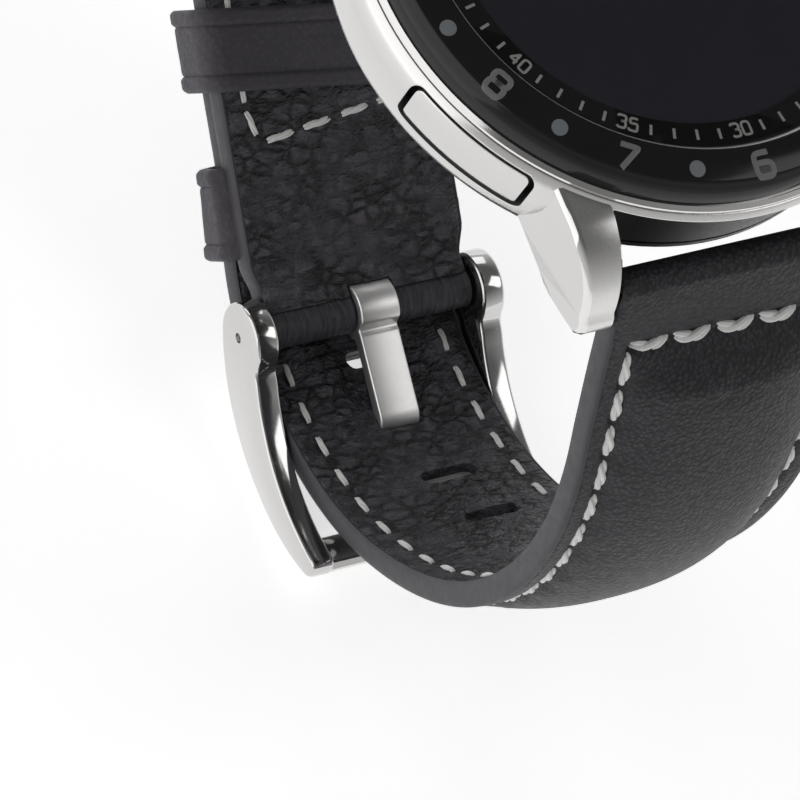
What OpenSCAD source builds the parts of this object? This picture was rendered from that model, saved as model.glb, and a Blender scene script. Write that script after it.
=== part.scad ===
// Round smartwatch on a closed leather strap.
// +Z looks out of the display, +Y points to 12 o'clock and +X to 3 o'clock.
// The origin is the centre of the flat sensor face on the back. All sizes are in millimetres.

/* [Case] */
// Outer radius of the steel case at its widest
case_r = 22.95; // [22.8:0.05:23.3]
// Height of the steel case's lower edge
case_z0 = 2.15; // [2.1:0.05:2.3]
// Height of the steel case's upper edge
case_z1 = 9.4; // [9.3:0.05:9.5]
// Outer radius of the black inner case
core_r = 20.9; // [20.8:0.05:20.95]
// Thickness of the inner case's wall
core_wall = 1.6; // [1.4:0.1:1.8]
// Outer radius of the bezel's black insert
bezel_r = 21.6; // [21.4:0.05:21.8]
// Radius of the cover glass
glass_r = 17.85; // [17.5:0.05:17.85]
// Radius of the battery cell
battery_r = 11; // [9:0.5:11]

/* [Lugs] */
// Gap between a pair of lugs
lug_gap = 22; // [22:0.1:22.4]
// Distance of each spring bar from the middle of the watch
bar_y = 23.9; // [23.7:0.05:24]
// Height of the spring bars
bar_z = 4.5; // [4.3:0.05:4.6]
// Radius of a spring bar's tube
bar_r = 0.9; // [0.8:0.05:0.9]
// How far a spring bar's pin retracts
bar_travel = 1.1; // [0.9:0.1:1.2]

/* [Pushers] */
// Width of a pusher's cap around the case
pusher_w = 10; // [8:0.1:10.2]
// Height of a pusher's cap
pusher_h = 4.1; // [3.5:0.1:4.2]
// How far a pusher goes in
pusher_travel = 0.45; // [0.3:0.05:0.5]
// Radius of a pusher's stem
stem_r = 0.75; // [0.6:0.05:0.8]

/* [Strap] */
// Width of the strap at the lugs
strap_w = 21.6; // [21:0.1:21.6]
// Width of the long strap from the holes to its tip
tail_w = 18; // [17:0.1:18]
// Width of the short strap under the keepers
short_w = 19.2; // [18.6:0.1:19.2]
// Thickness of the lining leather
lining_t = 1; // [0.9:0.05:1.1]
// Thickness of the whole strap at its sewn edges
edge_t = 2.2; // [2:0.05:2.2]
// Height of the padded middle above the sewn edges
pad_h = 2.1; // [1:0.1:2.3]
// Distance between the strap holes
hole_pitch = 6.2; // [6:0.1:7]

/* [Buckle] */
// Radius of the buckle's bar
pin_r = 0.75; // [0.6:0.05:0.8]
// Radius of the leather roll around the buckle's bar
roll_r = 2.15; // [2:0.05:2.15]
// Radius of the buckle's ears
ear_r = 3; // [2.8:0.1:3]
// Thickness of the buckle's arms
arm_t = 2; // [1.6:0.1:2]
// Width of the tongue
tongue_w = 3.6; // [3.4:0.1:4]
// Thickness of the tongue
tongue_t = 1.2; // [1:0.05:1.2]

/* [Keepers] */
// Length of the fixed keeper along the strap
fixed_keeper_l = 7.3; // [5:0.1:7.3]
// Length of the free keeper along the strap
free_keeper_l = 6.6; // [6:0.1:8]
// Thickness of the keepers' leather
keeper_t = 1.1; // [1:0.05:1.2]

/* [Hidden] */
$fn = 64;

// Steel case and lugs
steel = [0.80, 0.79, 0.77];
black = [0.07, 0.07, 0.08];
leather = [0.19, 0.18, 0.20];
lining_colour = [0.12, 0.12, 0.13];
core_r0 = core_r - core_wall;
case_side_z = 7.4;               // height at which the case is widest
gap_z = 8.9;                     // underside of the steel between the lugs
lug_half = lug_gap / 2;
lug_profile = [[-14, 9], [-19.5, 9.2], [-22.3, 8.3], [-23.9, 6.8], [-25.2, 4.5], [-25.9, 2.5],
    [-25.5, 1.7], [-22.1, 1.6], [-20.3, 2.15], [-14, 2.4]];
lug_outline = [[lug_half, -14], [14.6, -14], [14.6, -20.2], [14.2, -22.2], [13.85, -24], [13.7, -26],
    [lug_half, -26]];
screw_angles = [50, 130, 230, 310];
pin_tip = lug_half + 0.9;        // outer end of a spring bar's pin
tube_half = 10.2;                // half the length of a spring bar's tube

// Pushers: clock angles from 12, seen from the front
pusher_z = 6.5;
pusher_turn = 2.7;               // how far a pusher sits from its hour, away from 3 or 9 o'clock
stem_z = 5.6;
pusher_back = 21.4;              // radius of the cap's inner face
stem_end = 18.3;                 // radius of the stem's inner end
clip_at = 18.7;                  // radius at which the retaining clip sits
window_gap = 0.5;                // space round a cap in its window

// Strap: heading 0 runs down, 90 towards +Y. Paths follow the lining's inner face.
lug_heading = -24;
strap_start = [-22.95, 4.1];
loop_r = 1.6;                    // leather round a spring bar
slope = 27;                      // rise of the strap at the buckle, from level
pin_at = [-1.2, -51];            // the buckle's bar, in Y and Z
pin_depth = 0.8;                 // from the short strap's lining face to the bar's axis
long_segments = [[15.7, 0], [9.4, 18], [31.1, 54], [22.7, 52], [5.9, 28], [5, 0], [3.85, -11],
    [15.5, 0]];
long_len = 109.15;
tongue_s = 69.1;                 // distance of the tongue's hole along the long strap
hole_l = 2;                      // length of a hole along the strap
tongue_hole_l = 3.1;             // the same for the hole that the tongue is in
hole_w = 4.9;
hem = 2.2;                       // width of the flat sewn edge
straight_l = 28;                 // straight stretch of the short strap above the buckle
bend_r = 15;
shoulder_r = 24;
pin_foot = [-pin_at[0] + pin_depth * sin(slope), pin_at[1] + pin_depth * cos(slope)];
bend_end = [pin_foot[0] - straight_l * cos(slope), pin_foot[1] + straight_l * sin(slope)];
bend_start = [bend_end[0] - bend_r * (1 - cos(90 - slope)), bend_end[1] + bend_r * sin(90 - slope)];
lug_run = (bend_start[0] - strap_start[0] + shoulder_r * (1 - cos(lug_heading))) / sin(lug_heading);
side_run = strap_start[1] - lug_run * cos(lug_heading) + shoulder_r * sin(lug_heading) - bend_start[1];
short_segments = [[lug_run, 0], [shoulder_r * -lug_heading * PI / 180, -lug_heading], [side_run, 0],
    [bend_r * (90 - slope) * PI / 180, 90 - slope], [straight_l, 0]];
short_len = lug_run + shoulder_r * -lug_heading * PI / 180 + side_run
    + bend_r * (90 - slope) * PI / 180 + straight_l;
tail_t = 2.41;                   // height of the tail's inner face over the short strap's lining
fixed_keeper_at = 6.1;           // start of each keeper, measured up the slope from the bar
free_keeper_at = 18.15;
keeper_skew = 0.13;              // the free keeper sits askew: rise up the slope per mm to the left
slack = 0.84;                    // the padding's height over the crown's, to clear the upper's facets
filled = [-0.95, -2 / 3, -1 / 3, 0, 1 / 3, 2 / 3, 0.95];
tab_t = 0.6;                     // the fixed keeper's tab, sewn between lining and upper
keeper_gap = 0.2;
keeper_half = short_w / 2 + keeper_gap;
arm_x = tail_w / 2 + 0.2;        // inner face of the buckle's arms
eye_r = 2.4;                     // radius of the tongue's eye
eye_half = tongue_w / 2 + 0.2;   // half the gap in the leather for the eye

// ---- Helpers ----------------------------------------------------------------------------------

// Position and heading a fraction f along a segment [length, turn]
function along(p, seg, f) =
    seg[1] == 0
    ? [p[0] + sin(p[2]) * seg[0] * f, p[1] - cos(p[2]) * seg[0] * f, p[2]]
    : let (r = seg[0] / (seg[1] * PI / 180), h = p[2] + seg[1] * f)
      [p[0] + r * (cos(p[2]) - cos(h)), p[1] - r * (sin(h) - sin(p[2])), h];

// Place at distance s along a list of segments that starts at p = [y, z, heading]
function place(p, segs, s, i = 0) =
    (s <= segs[i][0] || i == len(segs) - 1)
    ? along(p, segs[i], s / segs[i][0])
    : place(along(p, segs[i], 1), segs, s - segs[i][0], i + 1);

// Circle arc through three points, as n + 1 points
function arc3(a, b, c, n) =
    let (
        d = 2 * (a[0] * (b[1] - c[1]) + b[0] * (c[1] - a[1]) + c[0] * (a[1] - b[1])),
        ux = ((a * a) * (b[1] - c[1]) + (b * b) * (c[1] - a[1]) + (c * c) * (a[1] - b[1])) / d,
        uy = ((a * a) * (c[0] - b[0]) + (b * b) * (a[0] - c[0]) + (c * c) * (b[0] - a[0])) / d,
        r = norm([a[0] - ux, a[1] - uy]),
        a0 = atan2(a[1] - uy, a[0] - ux),
        a1 = atan2(c[1] - uy, c[0] - ux),
        sweep = ((a1 - a0 + 540) % 360) - 180
    )
    [for (i = [0:n]) [ux + r * cos(a0 + sweep * i / n), uy + r * sin(a0 + sweep * i / n)]];

function smooth(a, b, x) = let (t = min(1, max(0, (x - a) / (b - a)))) t * t * (3 - 2 * t);

// Solid through a list of rings with the same even number of points, each one half low and half high
module skin(rings) {
    n = len(rings[0]);
    m = len(rings);
    points = [for (ring = rings) each ring];
    sides = [for (i = [0:m - 2], j = [0:n - 1]) let (k = (j + 1) % n)
        each [[i * n + j, (i + 1) * n + j, i * n + k], [i * n + k, (i + 1) * n + j, (i + 1) * n + k]]];
    first = [for (j = [0:n / 2 - 2]) [j, j + 1, n - 2 - j, n - 1 - j]];
    last = [for (face = first) [for (k = [3:-1:0]) (m - 1) * n + face[k]]];
    polyhedron(points, concat(first, sides, last), convexity = 8);
}

// A point x across the strap and t outwards from the lining's inner face
function on_strap(q, x, t) = [x, q[0] - t * cos(q[2]), q[1] - t * sin(q[2])];

// Round bar along X
module bar(y, z, r, x0, x1) {
    translate([x0, y, z]) rotate([0, 90, 0]) cylinder(r = r, h = x1 - x0);
}

// Outline in Y and Z, extruded along X
module slab(outline, x0, x1) {
    translate([x0, 0, 0]) rotate([90, 0, 90]) linear_extrude(x1 - x0) polygon(outline);
}

// Turn a shape that lies along +Y to a clock position
module at_clock(hour) {
    turn = hour == 4 || hour == 10 ? pusher_turn : -pusher_turn;
    rotate(-30 * hour - turn) children();
}

module ring(r0, r1, z0, z1) {
    translate([0, 0, z0]) difference() {
        cylinder(r = r1, h = z1 - z0);
        translate([0, 0, -1]) cylinder(r = r0, h = z1 - z0 + 2);
    }
}

module disc(r, z0, z1) { translate([0, 0, z0]) cylinder(r = r, h = z1 - z0); }

module block(size, at) { translate(at - [size[0] / 2, size[1] / 2, 0]) cube(size); }

module each_pusher() { for (hour = [2, 4, 8, 10]) at_clock(hour) children(); }

// A shape along the stem's axis, measured outwards from the middle of the watch
module on_stem() { translate([0, 0, stem_z]) rotate([-90, 0, 0]) children(); }

// ---- Case --------------------------------------------------------------------------------------

module case_body(shrink = 0) {
    rotate_extrude($fn = 240) polygon([[core_r, case_z0], [case_r - 1.5, case_z0],
        [case_r - 1.15, case_z0 + 0.4], [case_r - shrink, case_side_z],
        [case_r - 0.75 - shrink, case_z1], [core_r, case_z1]]);
}

module lug() {
    intersection() {
        slab(lug_profile, lug_half, 18);
        linear_extrude(10) polygon(lug_outline);
    }
}

module pusher_block(grow, r0) {
    translate([-pusher_w / 2 - grow, r0, pusher_z - pusher_h / 2 - grow])
        cube([pusher_w + 2 * grow, 4, pusher_h + 2 * grow]);
}

module mid_case() {
    color(steel) difference() {
        union() {
            difference() {
                case_body();
                for (side = [0, 180]) rotate(side)
                    translate([-lug_half, -24, 0]) cube([lug_gap, 10, gap_z]);
            }
            difference() {
                for (side = [0, 180]) rotate(side) {
                    lug();
                    mirror([1, 0, 0]) lug();
                }
                disc(core_r, 0, 12);
            }
        }
        each_pusher() pusher_block(window_gap, 19);
        for (side = [0, 180]) rotate(side) bar(-bar_y, bar_z, 0.55, -lug_half - 1.2, lug_half + 1.2);
    }
}

module inner_case() {
    color(black) difference() {
        ring(core_r0, core_r, 2.35, case_z1);
        each_pusher() on_stem() {
            cylinder(r = stem_r + 0.05, h = 30);
            translate([0, 0, core_r0 - 1]) cylinder(r = 1.35, h = 1.6);
        }
    }
}

module bezel_carrier() {
    color(steel) rotate_extrude() polygon([[18.9, case_z1], [22.1, case_z1], [22.05, case_z1 + 0.15],
        [21.75, 9.8], [18.9, 9.8]]);
}

module bezel_insert() {
    color(black) rotate_extrude() polygon([[18.05, 9.8], [bezel_r, 9.8], [bezel_r, 10],
        [bezel_r - 0.75, 11.35], [20.3, 11.62], [18.5, 11.95], [18.05, 11.6]]);
}

module cover_glass() {
    color([0.1, 0.1, 0.12, 0.4]) rotate_extrude() polygon([[0, 10.8], [glass_r, 10.8],
        [glass_r, 11.35], [glass_r - 0.15, 11.5], [0, 11.5]]);
}

module glass_gasket() { color(black) ring(glass_r, 18.05, 9.8, 11.3); }

module minute_ring() { color(black) ring(15.8, glass_r, 10.45, 10.8); }

module display_panel() { color([0.05, 0.05, 0.07]) disc(glass_r, 9.65, 10.45); }

module display_frame() {
    color("dimgray") difference() {
        disc(18.6, 8.95, 9.65);
        translate([0, 0, 8]) linear_extrude(3) translate([-5, 12]) square([10, 1.5]);
    }
}

module main_board() { color("darkgreen") disc(18.8, 7.2, 8); }

module board_chips() {
    color("dimgray") {
        block([8, 8, 0.9], [-4, 3, 8]);
        block([6, 5, 0.7], [5, 5, 8]);
        block([5, 4, 0.8], [6, -3, 8]);
        block([4, 3, 0.6], [-3, -6, 8]);
        for (i = [0:4]) block([1.2, 0.7, 0.5], [-8 + 4 * i, -12, 8]);
        for (i = [0:3]) block([1, 0.6, 0.5], [-6 + 4 * i, 13, 8]);
    }
}

module battery_tray() {
    color("gray") difference() {
        disc(19, 2.9, 7);
        disc(battery_r + 0.15, 2.8, 7.5);
        translate([0, 15, 2.8]) cylinder(r = 3.6, h = 5);
        block([9.4, 4.4, 5], [0, -15.2, 2.8]);
        each_pusher() translate([-3.4, 15.1, 2.8]) cube([6.8, 6, 5]);
        for (a = screw_angles) rotate(a) translate([17.2, 0, 2.8]) cylinder(r = 0.55, h = 2.8);
    }
}

module battery() { color("silver") disc(battery_r, 3, 6.9); }

module vibration_motor() { color("silver") translate([0, 15, 3]) cylinder(r = 3.5, h = 2.8); }

module speaker() { color(black) block([9.2, 4.2, 3], [0, -15.2, 3.2]); }

module charging_coil() { color("peru") ring(6, 14.5, 2.2, 2.6); }

module ferrite_sheet() { color("dimgray") disc(14.8, 2.6, 2.85); }

module sensor_board() { color("darkgreen") disc(8, 1.35, 1.9); }

module optical_sensors() {
    color("white") {
        block([1.6, 1.6, 0.4], [0, 0, 0.95]);
        for (a = [45:90:315]) rotate(a) block([2.2, 1.8, 0.4], [4.2, 0, 0.95]);
    }
}

module sensor_window() {
    color([0.1, 0.1, 0.12]) rotate_extrude()
        polygon([[0, 0], [8.5, 0], [8.95, 0.25], [8.95, 0.95], [0, 0.95]]);
}

module back_cover() {
    color(black) difference() {
        rotate_extrude() polygon([[8.95, 0.3], [13.5, 0.75], [20.1, 1.2], [core_r, 1.6],
            [core_r, 2.1], [18.5, 2.1], [13.5, 1.75], [8.95, 1.3]]);
        for (a = screw_angles) rotate(a) translate([17.2, 0, 0]) {
            cylinder(r = 0.6, h = 3);
            cylinder(r = 1.1, h = 1.45);
        }
    }
}

module back_gasket() { color("dimgray") ring(19.5, 20.5, 2.1, 2.35); }

module case_screws() {
    color("silver") for (a = screw_angles) rotate(a) translate([17.2, 0, 0]) difference() {
        union() {
            translate([0, 0, 1.05]) cylinder(r = 1, h = 0.4);
            translate([0, 0, 1.4]) cylinder(r = 0.5, h = 3.6);
        }
        translate([0, 0, 1]) cylinder(r = 0.5, h = 0.3, $fn = 6);
    }
}

// ---- Pushers -----------------------------------------------------------------------------------

module pusher_cap(hour) {
    color(steel) at_clock(hour) difference() {
        union() {
            intersection() {
                case_body();
                pusher_block(0, pusher_back);
            }
            on_stem() translate([0, 0, stem_end]) cylinder(r = stem_r, h = pusher_back - stem_end + 0.2);
        }
        on_stem() translate([0, 0, clip_at]) difference() {
            cylinder(r = stem_r + 1, h = 0.3);
            cylinder(r = 0.5, h = 0.3);
        }
    }
}

module pusher_clip(hour) {
    color("silver") at_clock(hour) on_stem() difference() {
        translate([0, 0, clip_at]) cylinder(r = 1.25, h = 0.3);
        translate([0, 0, clip_at - 1]) cylinder(r = 0.5, h = 3);
        translate([-0.3, 0, clip_at - 1]) cube([0.6, 2, 3]);
    }
}

module pusher_seals() {
    color("dimgray") each_pusher() on_stem() translate([0, 0, core_r0 + 0.3])
        rotate_extrude() translate([1.07, 0]) circle(r = 0.27, $fn = 24);
}

module pusher_switches() {
    color("dimgray") each_pusher() {
        block([4.6, 1.9, 3], [0, 16.3, stem_z - 1.5]);
        on_stem() translate([0, 0, 17.2]) cylinder(r = 0.8, h = 0.55);
    }
}

// ---- Spring bars -------------------------------------------------------------------------------

module each_bar() { for (side = [0, 180]) rotate(side) children(); }

module spring_bar_tubes() {
    color("silver") each_bar() difference() {
        bar(-bar_y, bar_z, bar_r, -tube_half, tube_half);
        bar(-bar_y, bar_z, 0.52, -tube_half - 1, tube_half + 1);
    }
}

module spring_bar_coils() {
    half = 6.2;
    turns = 7;
    steps = turns * 8;
    color("silver") each_bar() skin([for (i = [0:steps]) let (a = 45 * i, x = -half + 2 * half * i / steps)
        [for (j = [0:3]) let (r = 0.33 + 0.1 * cos(90 * j))
            [x - 0.1 * sin(90 * j), -bar_y + r * cos(a), bar_z + r * sin(a)]]]);
}

module bar_pin(y, side) {
    color("silver") mirror([side < 0 ? 1 : 0, 0, 0]) {
        bar(y, bar_z, 0.45, 7.6, pin_tip);
        bar(y, bar_z, 0.5, 7.6, 8.4);
    }
}

// ---- Strap -------------------------------------------------------------------------------------

strap_origin = [strap_start[0], strap_start[1], lug_heading];
function long_at(s) = place(strap_origin, long_segments, s);
function long_half(s) = let (tip = max(0, s - long_len + 9) / 9.2)
    (strap_w + (tail_w - strap_w) * smooth(5, 55, s)) / 2 * sqrt(1 - tip * tip);
function long_pad(s) = pad_h * (0.3 + 0.7 * smooth(0, 10, s)) * (1 - smooth(22, 72, s));
function short_at(s) = place(strap_origin, short_segments, s);
function short_half(s) = (strap_w + (short_w - strap_w) * smooth(5, short_len - 30, s)) / 2;
function short_pad(s) = pad_h * (0.3 + 0.7 * smooth(0, 10, s)) * (1 - smooth(18, short_len - 32, s));

// Height of the padding at a fraction u from the middle to the sewn edge
function crown(u, h) = h * pow(max(0, cos(90 * u)), 0.6);
function middle(half) = half - min(hem, half / 2);
function across(half, pad, t) = [for (i = [-3:3]) let (u = i / 3)
    [u * middle(half), t + crown(abs(u), pad)]];
function roof(u, h) = slack * (u > 2 / 3 ? crown(2 / 3, h) * (1 - u) * 3 : crown(u, h));
function reversed(list) = [for (i = [len(list) - 1:-1:0]) list[i]];

module layer(q, half, low, high) {
    skin([for (i = [0:len(q) - 1]) [for (p = concat(
        [[-half[i], low[i][0][1]]], low[i], [[half[i], low[i][0][1]]],
        [[half[i], high[i][0][1]]], reversed(high[i]), [[-half[i], high[i][0][1]]]))
        on_strap(q[i], p[0], p[1])]]);
}

module strap_lining(q, half) {
    skin([for (i = [0:len(q) - 1])
        [for (p = [[-half[i], 0], [half[i], 0], [half[i], lining_t], [-half[i], lining_t]])
            on_strap(q[i], p[0], p[1])]]);
}

// Padding fills the space between the lining and the upper, over part of the strap only
module strap_padding(q, half, pad) {
    skin([for (i = [0:len(q) - 1]) [for (p = concat(
        [for (u = filled) [u * middle(half[i]), lining_t]],
        [for (u = reversed(filled)) [u * middle(half[i]), lining_t + roof(abs(u), pad[i])]]))
        on_strap(q[i], p[0], p[1])]]);
}

module strap_upper(q, half, pad) {
    layer(q, half,
        [for (i = [0:len(q) - 1]) across(half[i], pad[i], lining_t)],
        [for (i = [0:len(q) - 1]) across(half[i], pad[i], edge_t)]);
}

module lug_loop(half) { bar(-bar_y, bar_z, loop_r, -half, half); }
module lug_bore() { bar(-bar_y, bar_z, bar_r + 0.03, -12, 12); }

// Slots for the tongue
module strap_holes() {
    for (i = [-2:4]) let (q = long_at(tongue_s + i * hole_pitch))
        translate([0, q[0], q[1]]) rotate([q[2] - 90, 0, 0])
            block([hole_w, i == 0 ? tongue_hole_l : hole_l, 6], [0, 0, -4]);
}

long_s = concat([0, 4, 9, 16], [for (i = [1:18]) 16 + 77.95 * i / 18], [for (i = [0:4])
    long_len - 9 + 9 * sin(90 * i / 4)]);
long_q = [for (s = long_s) long_at(s)];
long_w = [for (s = long_s) long_half(s)];
pad_s = [for (s = long_s) if (s < 63) s];

module long_strap_lining() {
    color(lining_colour) difference() {
        strap_lining(long_q, long_w);
        lug_loop(strap_w);
        strap_holes();
    }
}

module long_strap_padding() {
    color("gray") difference() {
        strap_padding([for (s = pad_s) long_at(s)], [for (s = pad_s) long_half(s)],
            [for (s = pad_s) long_pad(s)]);
        lug_loop(strap_w);
        strap_holes();
    }
}

module long_strap_upper() {
    color(leather) difference() {
        union() {
            strap_upper(long_q, long_w, [for (s = long_s) long_pad(s)]);
            lug_loop(strap_w / 2 - 0.1);
        }
        lug_bore();
        strap_holes();
    }
}

short_s = [for (i = [0:22]) short_len * i / 22];
short_q = [for (s = short_s) short_at(s)];
short_w2 = [for (s = short_s) short_half(s)];
short_pad_s = [for (s = short_s) if (s < short_len - 37) s];

// The short strap runs the other way, so it is built mirrored
module short_side() { mirror([0, 1, 0]) children(); }

// Room in the short strap for the ears, the tongue's eye and the rolled end
module ear_space() {
    for (side = [0, 1]) mirror([side, 0, 0])
        bar(-pin_at[0], pin_at[1], ear_r + 0.3, tail_w / 2, strap_w);
}
module eye_space() { bar(-pin_at[0], pin_at[1], eye_r + 0.25, -eye_half, eye_half); }

module short_strap_lining() {
    color(lining_colour) short_side() difference() {
        strap_lining(short_q, short_w2);
        lug_loop(strap_w);
        bar(-pin_at[0], pin_at[1], roll_r, -tail_w / 2, tail_w / 2);
        ear_space();
        eye_space();
    }
}

module short_strap_padding() {
    color("gray") short_side() difference() {
        strap_padding([for (s = short_pad_s) short_at(s)], [for (s = short_pad_s) short_half(s)],
            [for (s = short_pad_s) short_pad(s)]);
        lug_loop(strap_w);
    }
}

module short_strap_upper() {
    color(leather) difference() {
        short_side() difference() {
            union() {
                strap_upper(short_q, short_w2, [for (s = short_s) short_pad(s)]);
                lug_loop(strap_w / 2 - 0.1);
                bar(-pin_at[0], pin_at[1], roll_r, -tail_w / 2, tail_w / 2);
            }
            lug_bore();
            bar(-pin_at[0], pin_at[1], pin_r + 0.06, -12, 12);
            ear_space();
            eye_space();
        }
        on_slope() translate([-12, fixed_keeper_at, -lining_t - tab_t])
            cube([24, fixed_keeper_l, tab_t]);
    }
}

// ---- Keepers -----------------------------------------------------------------------------------

// Y up the slope and Z inwards, from the short strap's lining over the buckle's bar
module on_slope() { translate([0, -pin_foot[0], pin_foot[1]]) rotate([slope, 0, 0]) children(); }

// Outer face of the long strap as [distance up the slope, height], clear of it by gap
function tail_outer(s, gap) =
    let (q = long_at(s), t = edge_t + gap,
         p = [q[0] - t * cos(q[2]) + pin_foot[0], q[1] - t * sin(q[2]) - pin_foot[1]])
    [p[0] * cos(slope) + p[1] * sin(slope), p[1] * cos(slope) - p[0] * sin(slope)];

// Band around the straps, from height top down to the outside of the tail
module band(start, length, top, inner_top, half, gap) {
    low = [for (s = [start + 76.5:1.5:start + length + 80]) tail_outer(s, gap)];
    thick = [for (s = [start + 76.5:1.5:start + length + 80]) tail_outer(s, gap + keeper_t)];
    difference() {
        intersection() {
            slab(concat([[thick[0][0], top]], thick, [[thick[len(thick) - 1][0], top]]),
                -half - keeper_t, half + keeper_t);
            slab([[start, 9], [start + length, 9], [start + length, -19], [start, -19]], -20, 20);
        }
        slab(concat([[low[0][0], inner_top]], low, [[low[len(low) - 1][0], inner_top]]), -half, half);
    }
}

module fixed_keeper() {
    color(leather) on_slope()
        band(fixed_keeper_at, fixed_keeper_l, -lining_t, -lining_t - tab_t, keeper_half, 0.15);
}

module free_keeper() {
    color(leather) on_slope()
        multmatrix([[1, 0, 0, 0], [-keeper_skew, 1, 0, 0], [0, 0, 1, 0]])
            band(free_keeper_at, free_keeper_l, keeper_gap + keeper_t, keeper_gap, keeper_half, keeper_gap);
}

// ---- Buckle ------------------------------------------------------------------------------------

// Side outline of an arm, from the ear along the outside to the tip and back along the inside
arm_outline = concat([[1.2, -52.9]], arc3([-2.2, -55.7], [-11.2, -58.1], [-19, -56], 14),
    [[-20.2, -55.2], [-20.2, -54.1]], arc3([-19.6, -53.6], [-12.9, -54.5], [-5, -51.9], 12),
    [[-3.9, -51.2], [-1.2, -51]]);
// Section of the bar that the tongue rests on
rest_bar = [[-17.6, -56.4], [-19, -56], [-20.2, -55.2], [-20.2, -54.22], [-17.9, -54.79]];

module buckle_frame() {
    color(steel) difference() {
        union() {
            for (side = [0, 1]) mirror([side, 0, 0]) {
                slab(arm_outline, arm_x, arm_x + arm_t);
                bar(pin_at[0], pin_at[1], ear_r, arm_x, arm_x + arm_t);
            }
            slab(rest_bar, -arm_x - 0.1, arm_x + 0.1);
        }
        bar(pin_at[0], pin_at[1], pin_r, -20, 20);
    }
}

module buckle_bar() {
    color(steel) bar(pin_at[0], pin_at[1], pin_r, -arm_x - arm_t + 0.3, arm_x + arm_t - 0.3);
}

// Middle line of the tongue from its eye, through the strap, to its tip on the rest bar
tongue_start = [pin_at[0] - 0.29, pin_at[1] + 0.59, -72.8];
tongue_segments = [[8.1, 0], [1.2, 54], [1.3, 0], [2, -86.8], [7.9, 0]];
tongue_len = 20.5;

module buckle_tongue() {
    path = [for (i = [0:40]) place(tongue_start, tongue_segments, tongue_len * i / 40)];
    half = tongue_t / 2;
    color(steel) difference() {
        union() {
            slab(concat([for (p = path) [p[0] - half * cos(p[2]), p[1] - half * sin(p[2])]],
                [for (p = reversed(path)) [p[0] + half * cos(p[2]), p[1] + half * sin(p[2])]]),
                -tongue_w / 2, tongue_w / 2);
            intersection() {
                bar(pin_at[0], pin_at[1], eye_r, -tongue_w / 2, tongue_w / 2);
                translate([-5, pin_at[0] - 5, pin_at[1] - 2]) cube([10, 10, 9]);
            }
        }
        bar(pin_at[0], pin_at[1], pin_r + 0.05, -20, 20);
    }
}

mid_case();
inner_case();
bezel_carrier();
bezel_insert();
cover_glass();
glass_gasket();
minute_ring();
display_panel();
display_frame();
main_board();
board_chips();
battery_tray();
battery();
vibration_motor();
speaker();
charging_coil();
ferrite_sheet();
sensor_board();
optical_sensors();
sensor_window();
back_cover();
back_gasket();
case_screws();
pusher_seals();
pusher_switches();
pusher_cap(2);  // pusher_cap_2
pusher_cap(4);  // pusher_cap_4
pusher_cap(8);  // pusher_cap_8
pusher_cap(10);  // pusher_cap_10
pusher_clip(2);  // pusher_clip_2
pusher_clip(4);  // pusher_clip_4
pusher_clip(8);  // pusher_clip_8
pusher_clip(10);  // pusher_clip_10
spring_bar_tubes();
spring_bar_coils();
bar_pin(-bar_y, -1);  // bar_pin_6_left
bar_pin(-bar_y, 1);  // bar_pin_6_right
bar_pin(bar_y, -1);  // bar_pin_12_left
bar_pin(bar_y, 1);  // bar_pin_12_right
long_strap_lining();
long_strap_padding();
long_strap_upper();
short_strap_lining();
short_strap_padding();
short_strap_upper();
fixed_keeper();
free_keeper();
buckle_frame();
buckle_bar();
buckle_tongue();
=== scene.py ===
"""Smartwatch on a closed leather strap: the looks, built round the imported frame. Lengths are in millimetres
until a mesh is made. +Z looks out of the display, +Y points to 12 o'clock and +X to 3 o'clock."""
import math

import bmesh
import bpy
import numpy as np
from mathutils import Matrix, Vector, noise


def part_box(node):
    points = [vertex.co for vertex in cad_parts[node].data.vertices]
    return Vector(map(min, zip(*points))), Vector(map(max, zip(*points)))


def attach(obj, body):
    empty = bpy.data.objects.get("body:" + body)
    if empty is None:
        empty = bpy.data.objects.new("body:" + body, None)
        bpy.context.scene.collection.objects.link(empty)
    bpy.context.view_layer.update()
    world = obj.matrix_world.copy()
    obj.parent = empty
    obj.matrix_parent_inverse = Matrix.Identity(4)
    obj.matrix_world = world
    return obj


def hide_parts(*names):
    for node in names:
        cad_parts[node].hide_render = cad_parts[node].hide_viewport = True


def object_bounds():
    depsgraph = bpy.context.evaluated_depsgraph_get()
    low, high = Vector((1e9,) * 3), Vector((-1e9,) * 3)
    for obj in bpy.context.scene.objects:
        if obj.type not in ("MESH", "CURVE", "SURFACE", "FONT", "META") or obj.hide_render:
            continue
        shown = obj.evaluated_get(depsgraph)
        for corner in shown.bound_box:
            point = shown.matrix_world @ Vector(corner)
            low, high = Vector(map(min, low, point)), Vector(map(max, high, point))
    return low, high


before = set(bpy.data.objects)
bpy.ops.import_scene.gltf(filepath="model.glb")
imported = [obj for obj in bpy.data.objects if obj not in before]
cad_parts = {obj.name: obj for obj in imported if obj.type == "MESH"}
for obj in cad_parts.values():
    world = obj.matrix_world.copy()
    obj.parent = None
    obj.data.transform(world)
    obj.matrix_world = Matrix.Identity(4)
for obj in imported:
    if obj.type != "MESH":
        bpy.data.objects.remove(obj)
cad_low, cad_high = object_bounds()

MM = 0.001
WATCH = "watch"


def box_mm(node):
    """Lowest and highest corner of a CAD node, in millimetres."""
    low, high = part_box(node)
    return np.array(low) / MM, np.array(high) / MM


# ---- Strap dimensions, as in the CAD source ------------------------------------------------------

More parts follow.
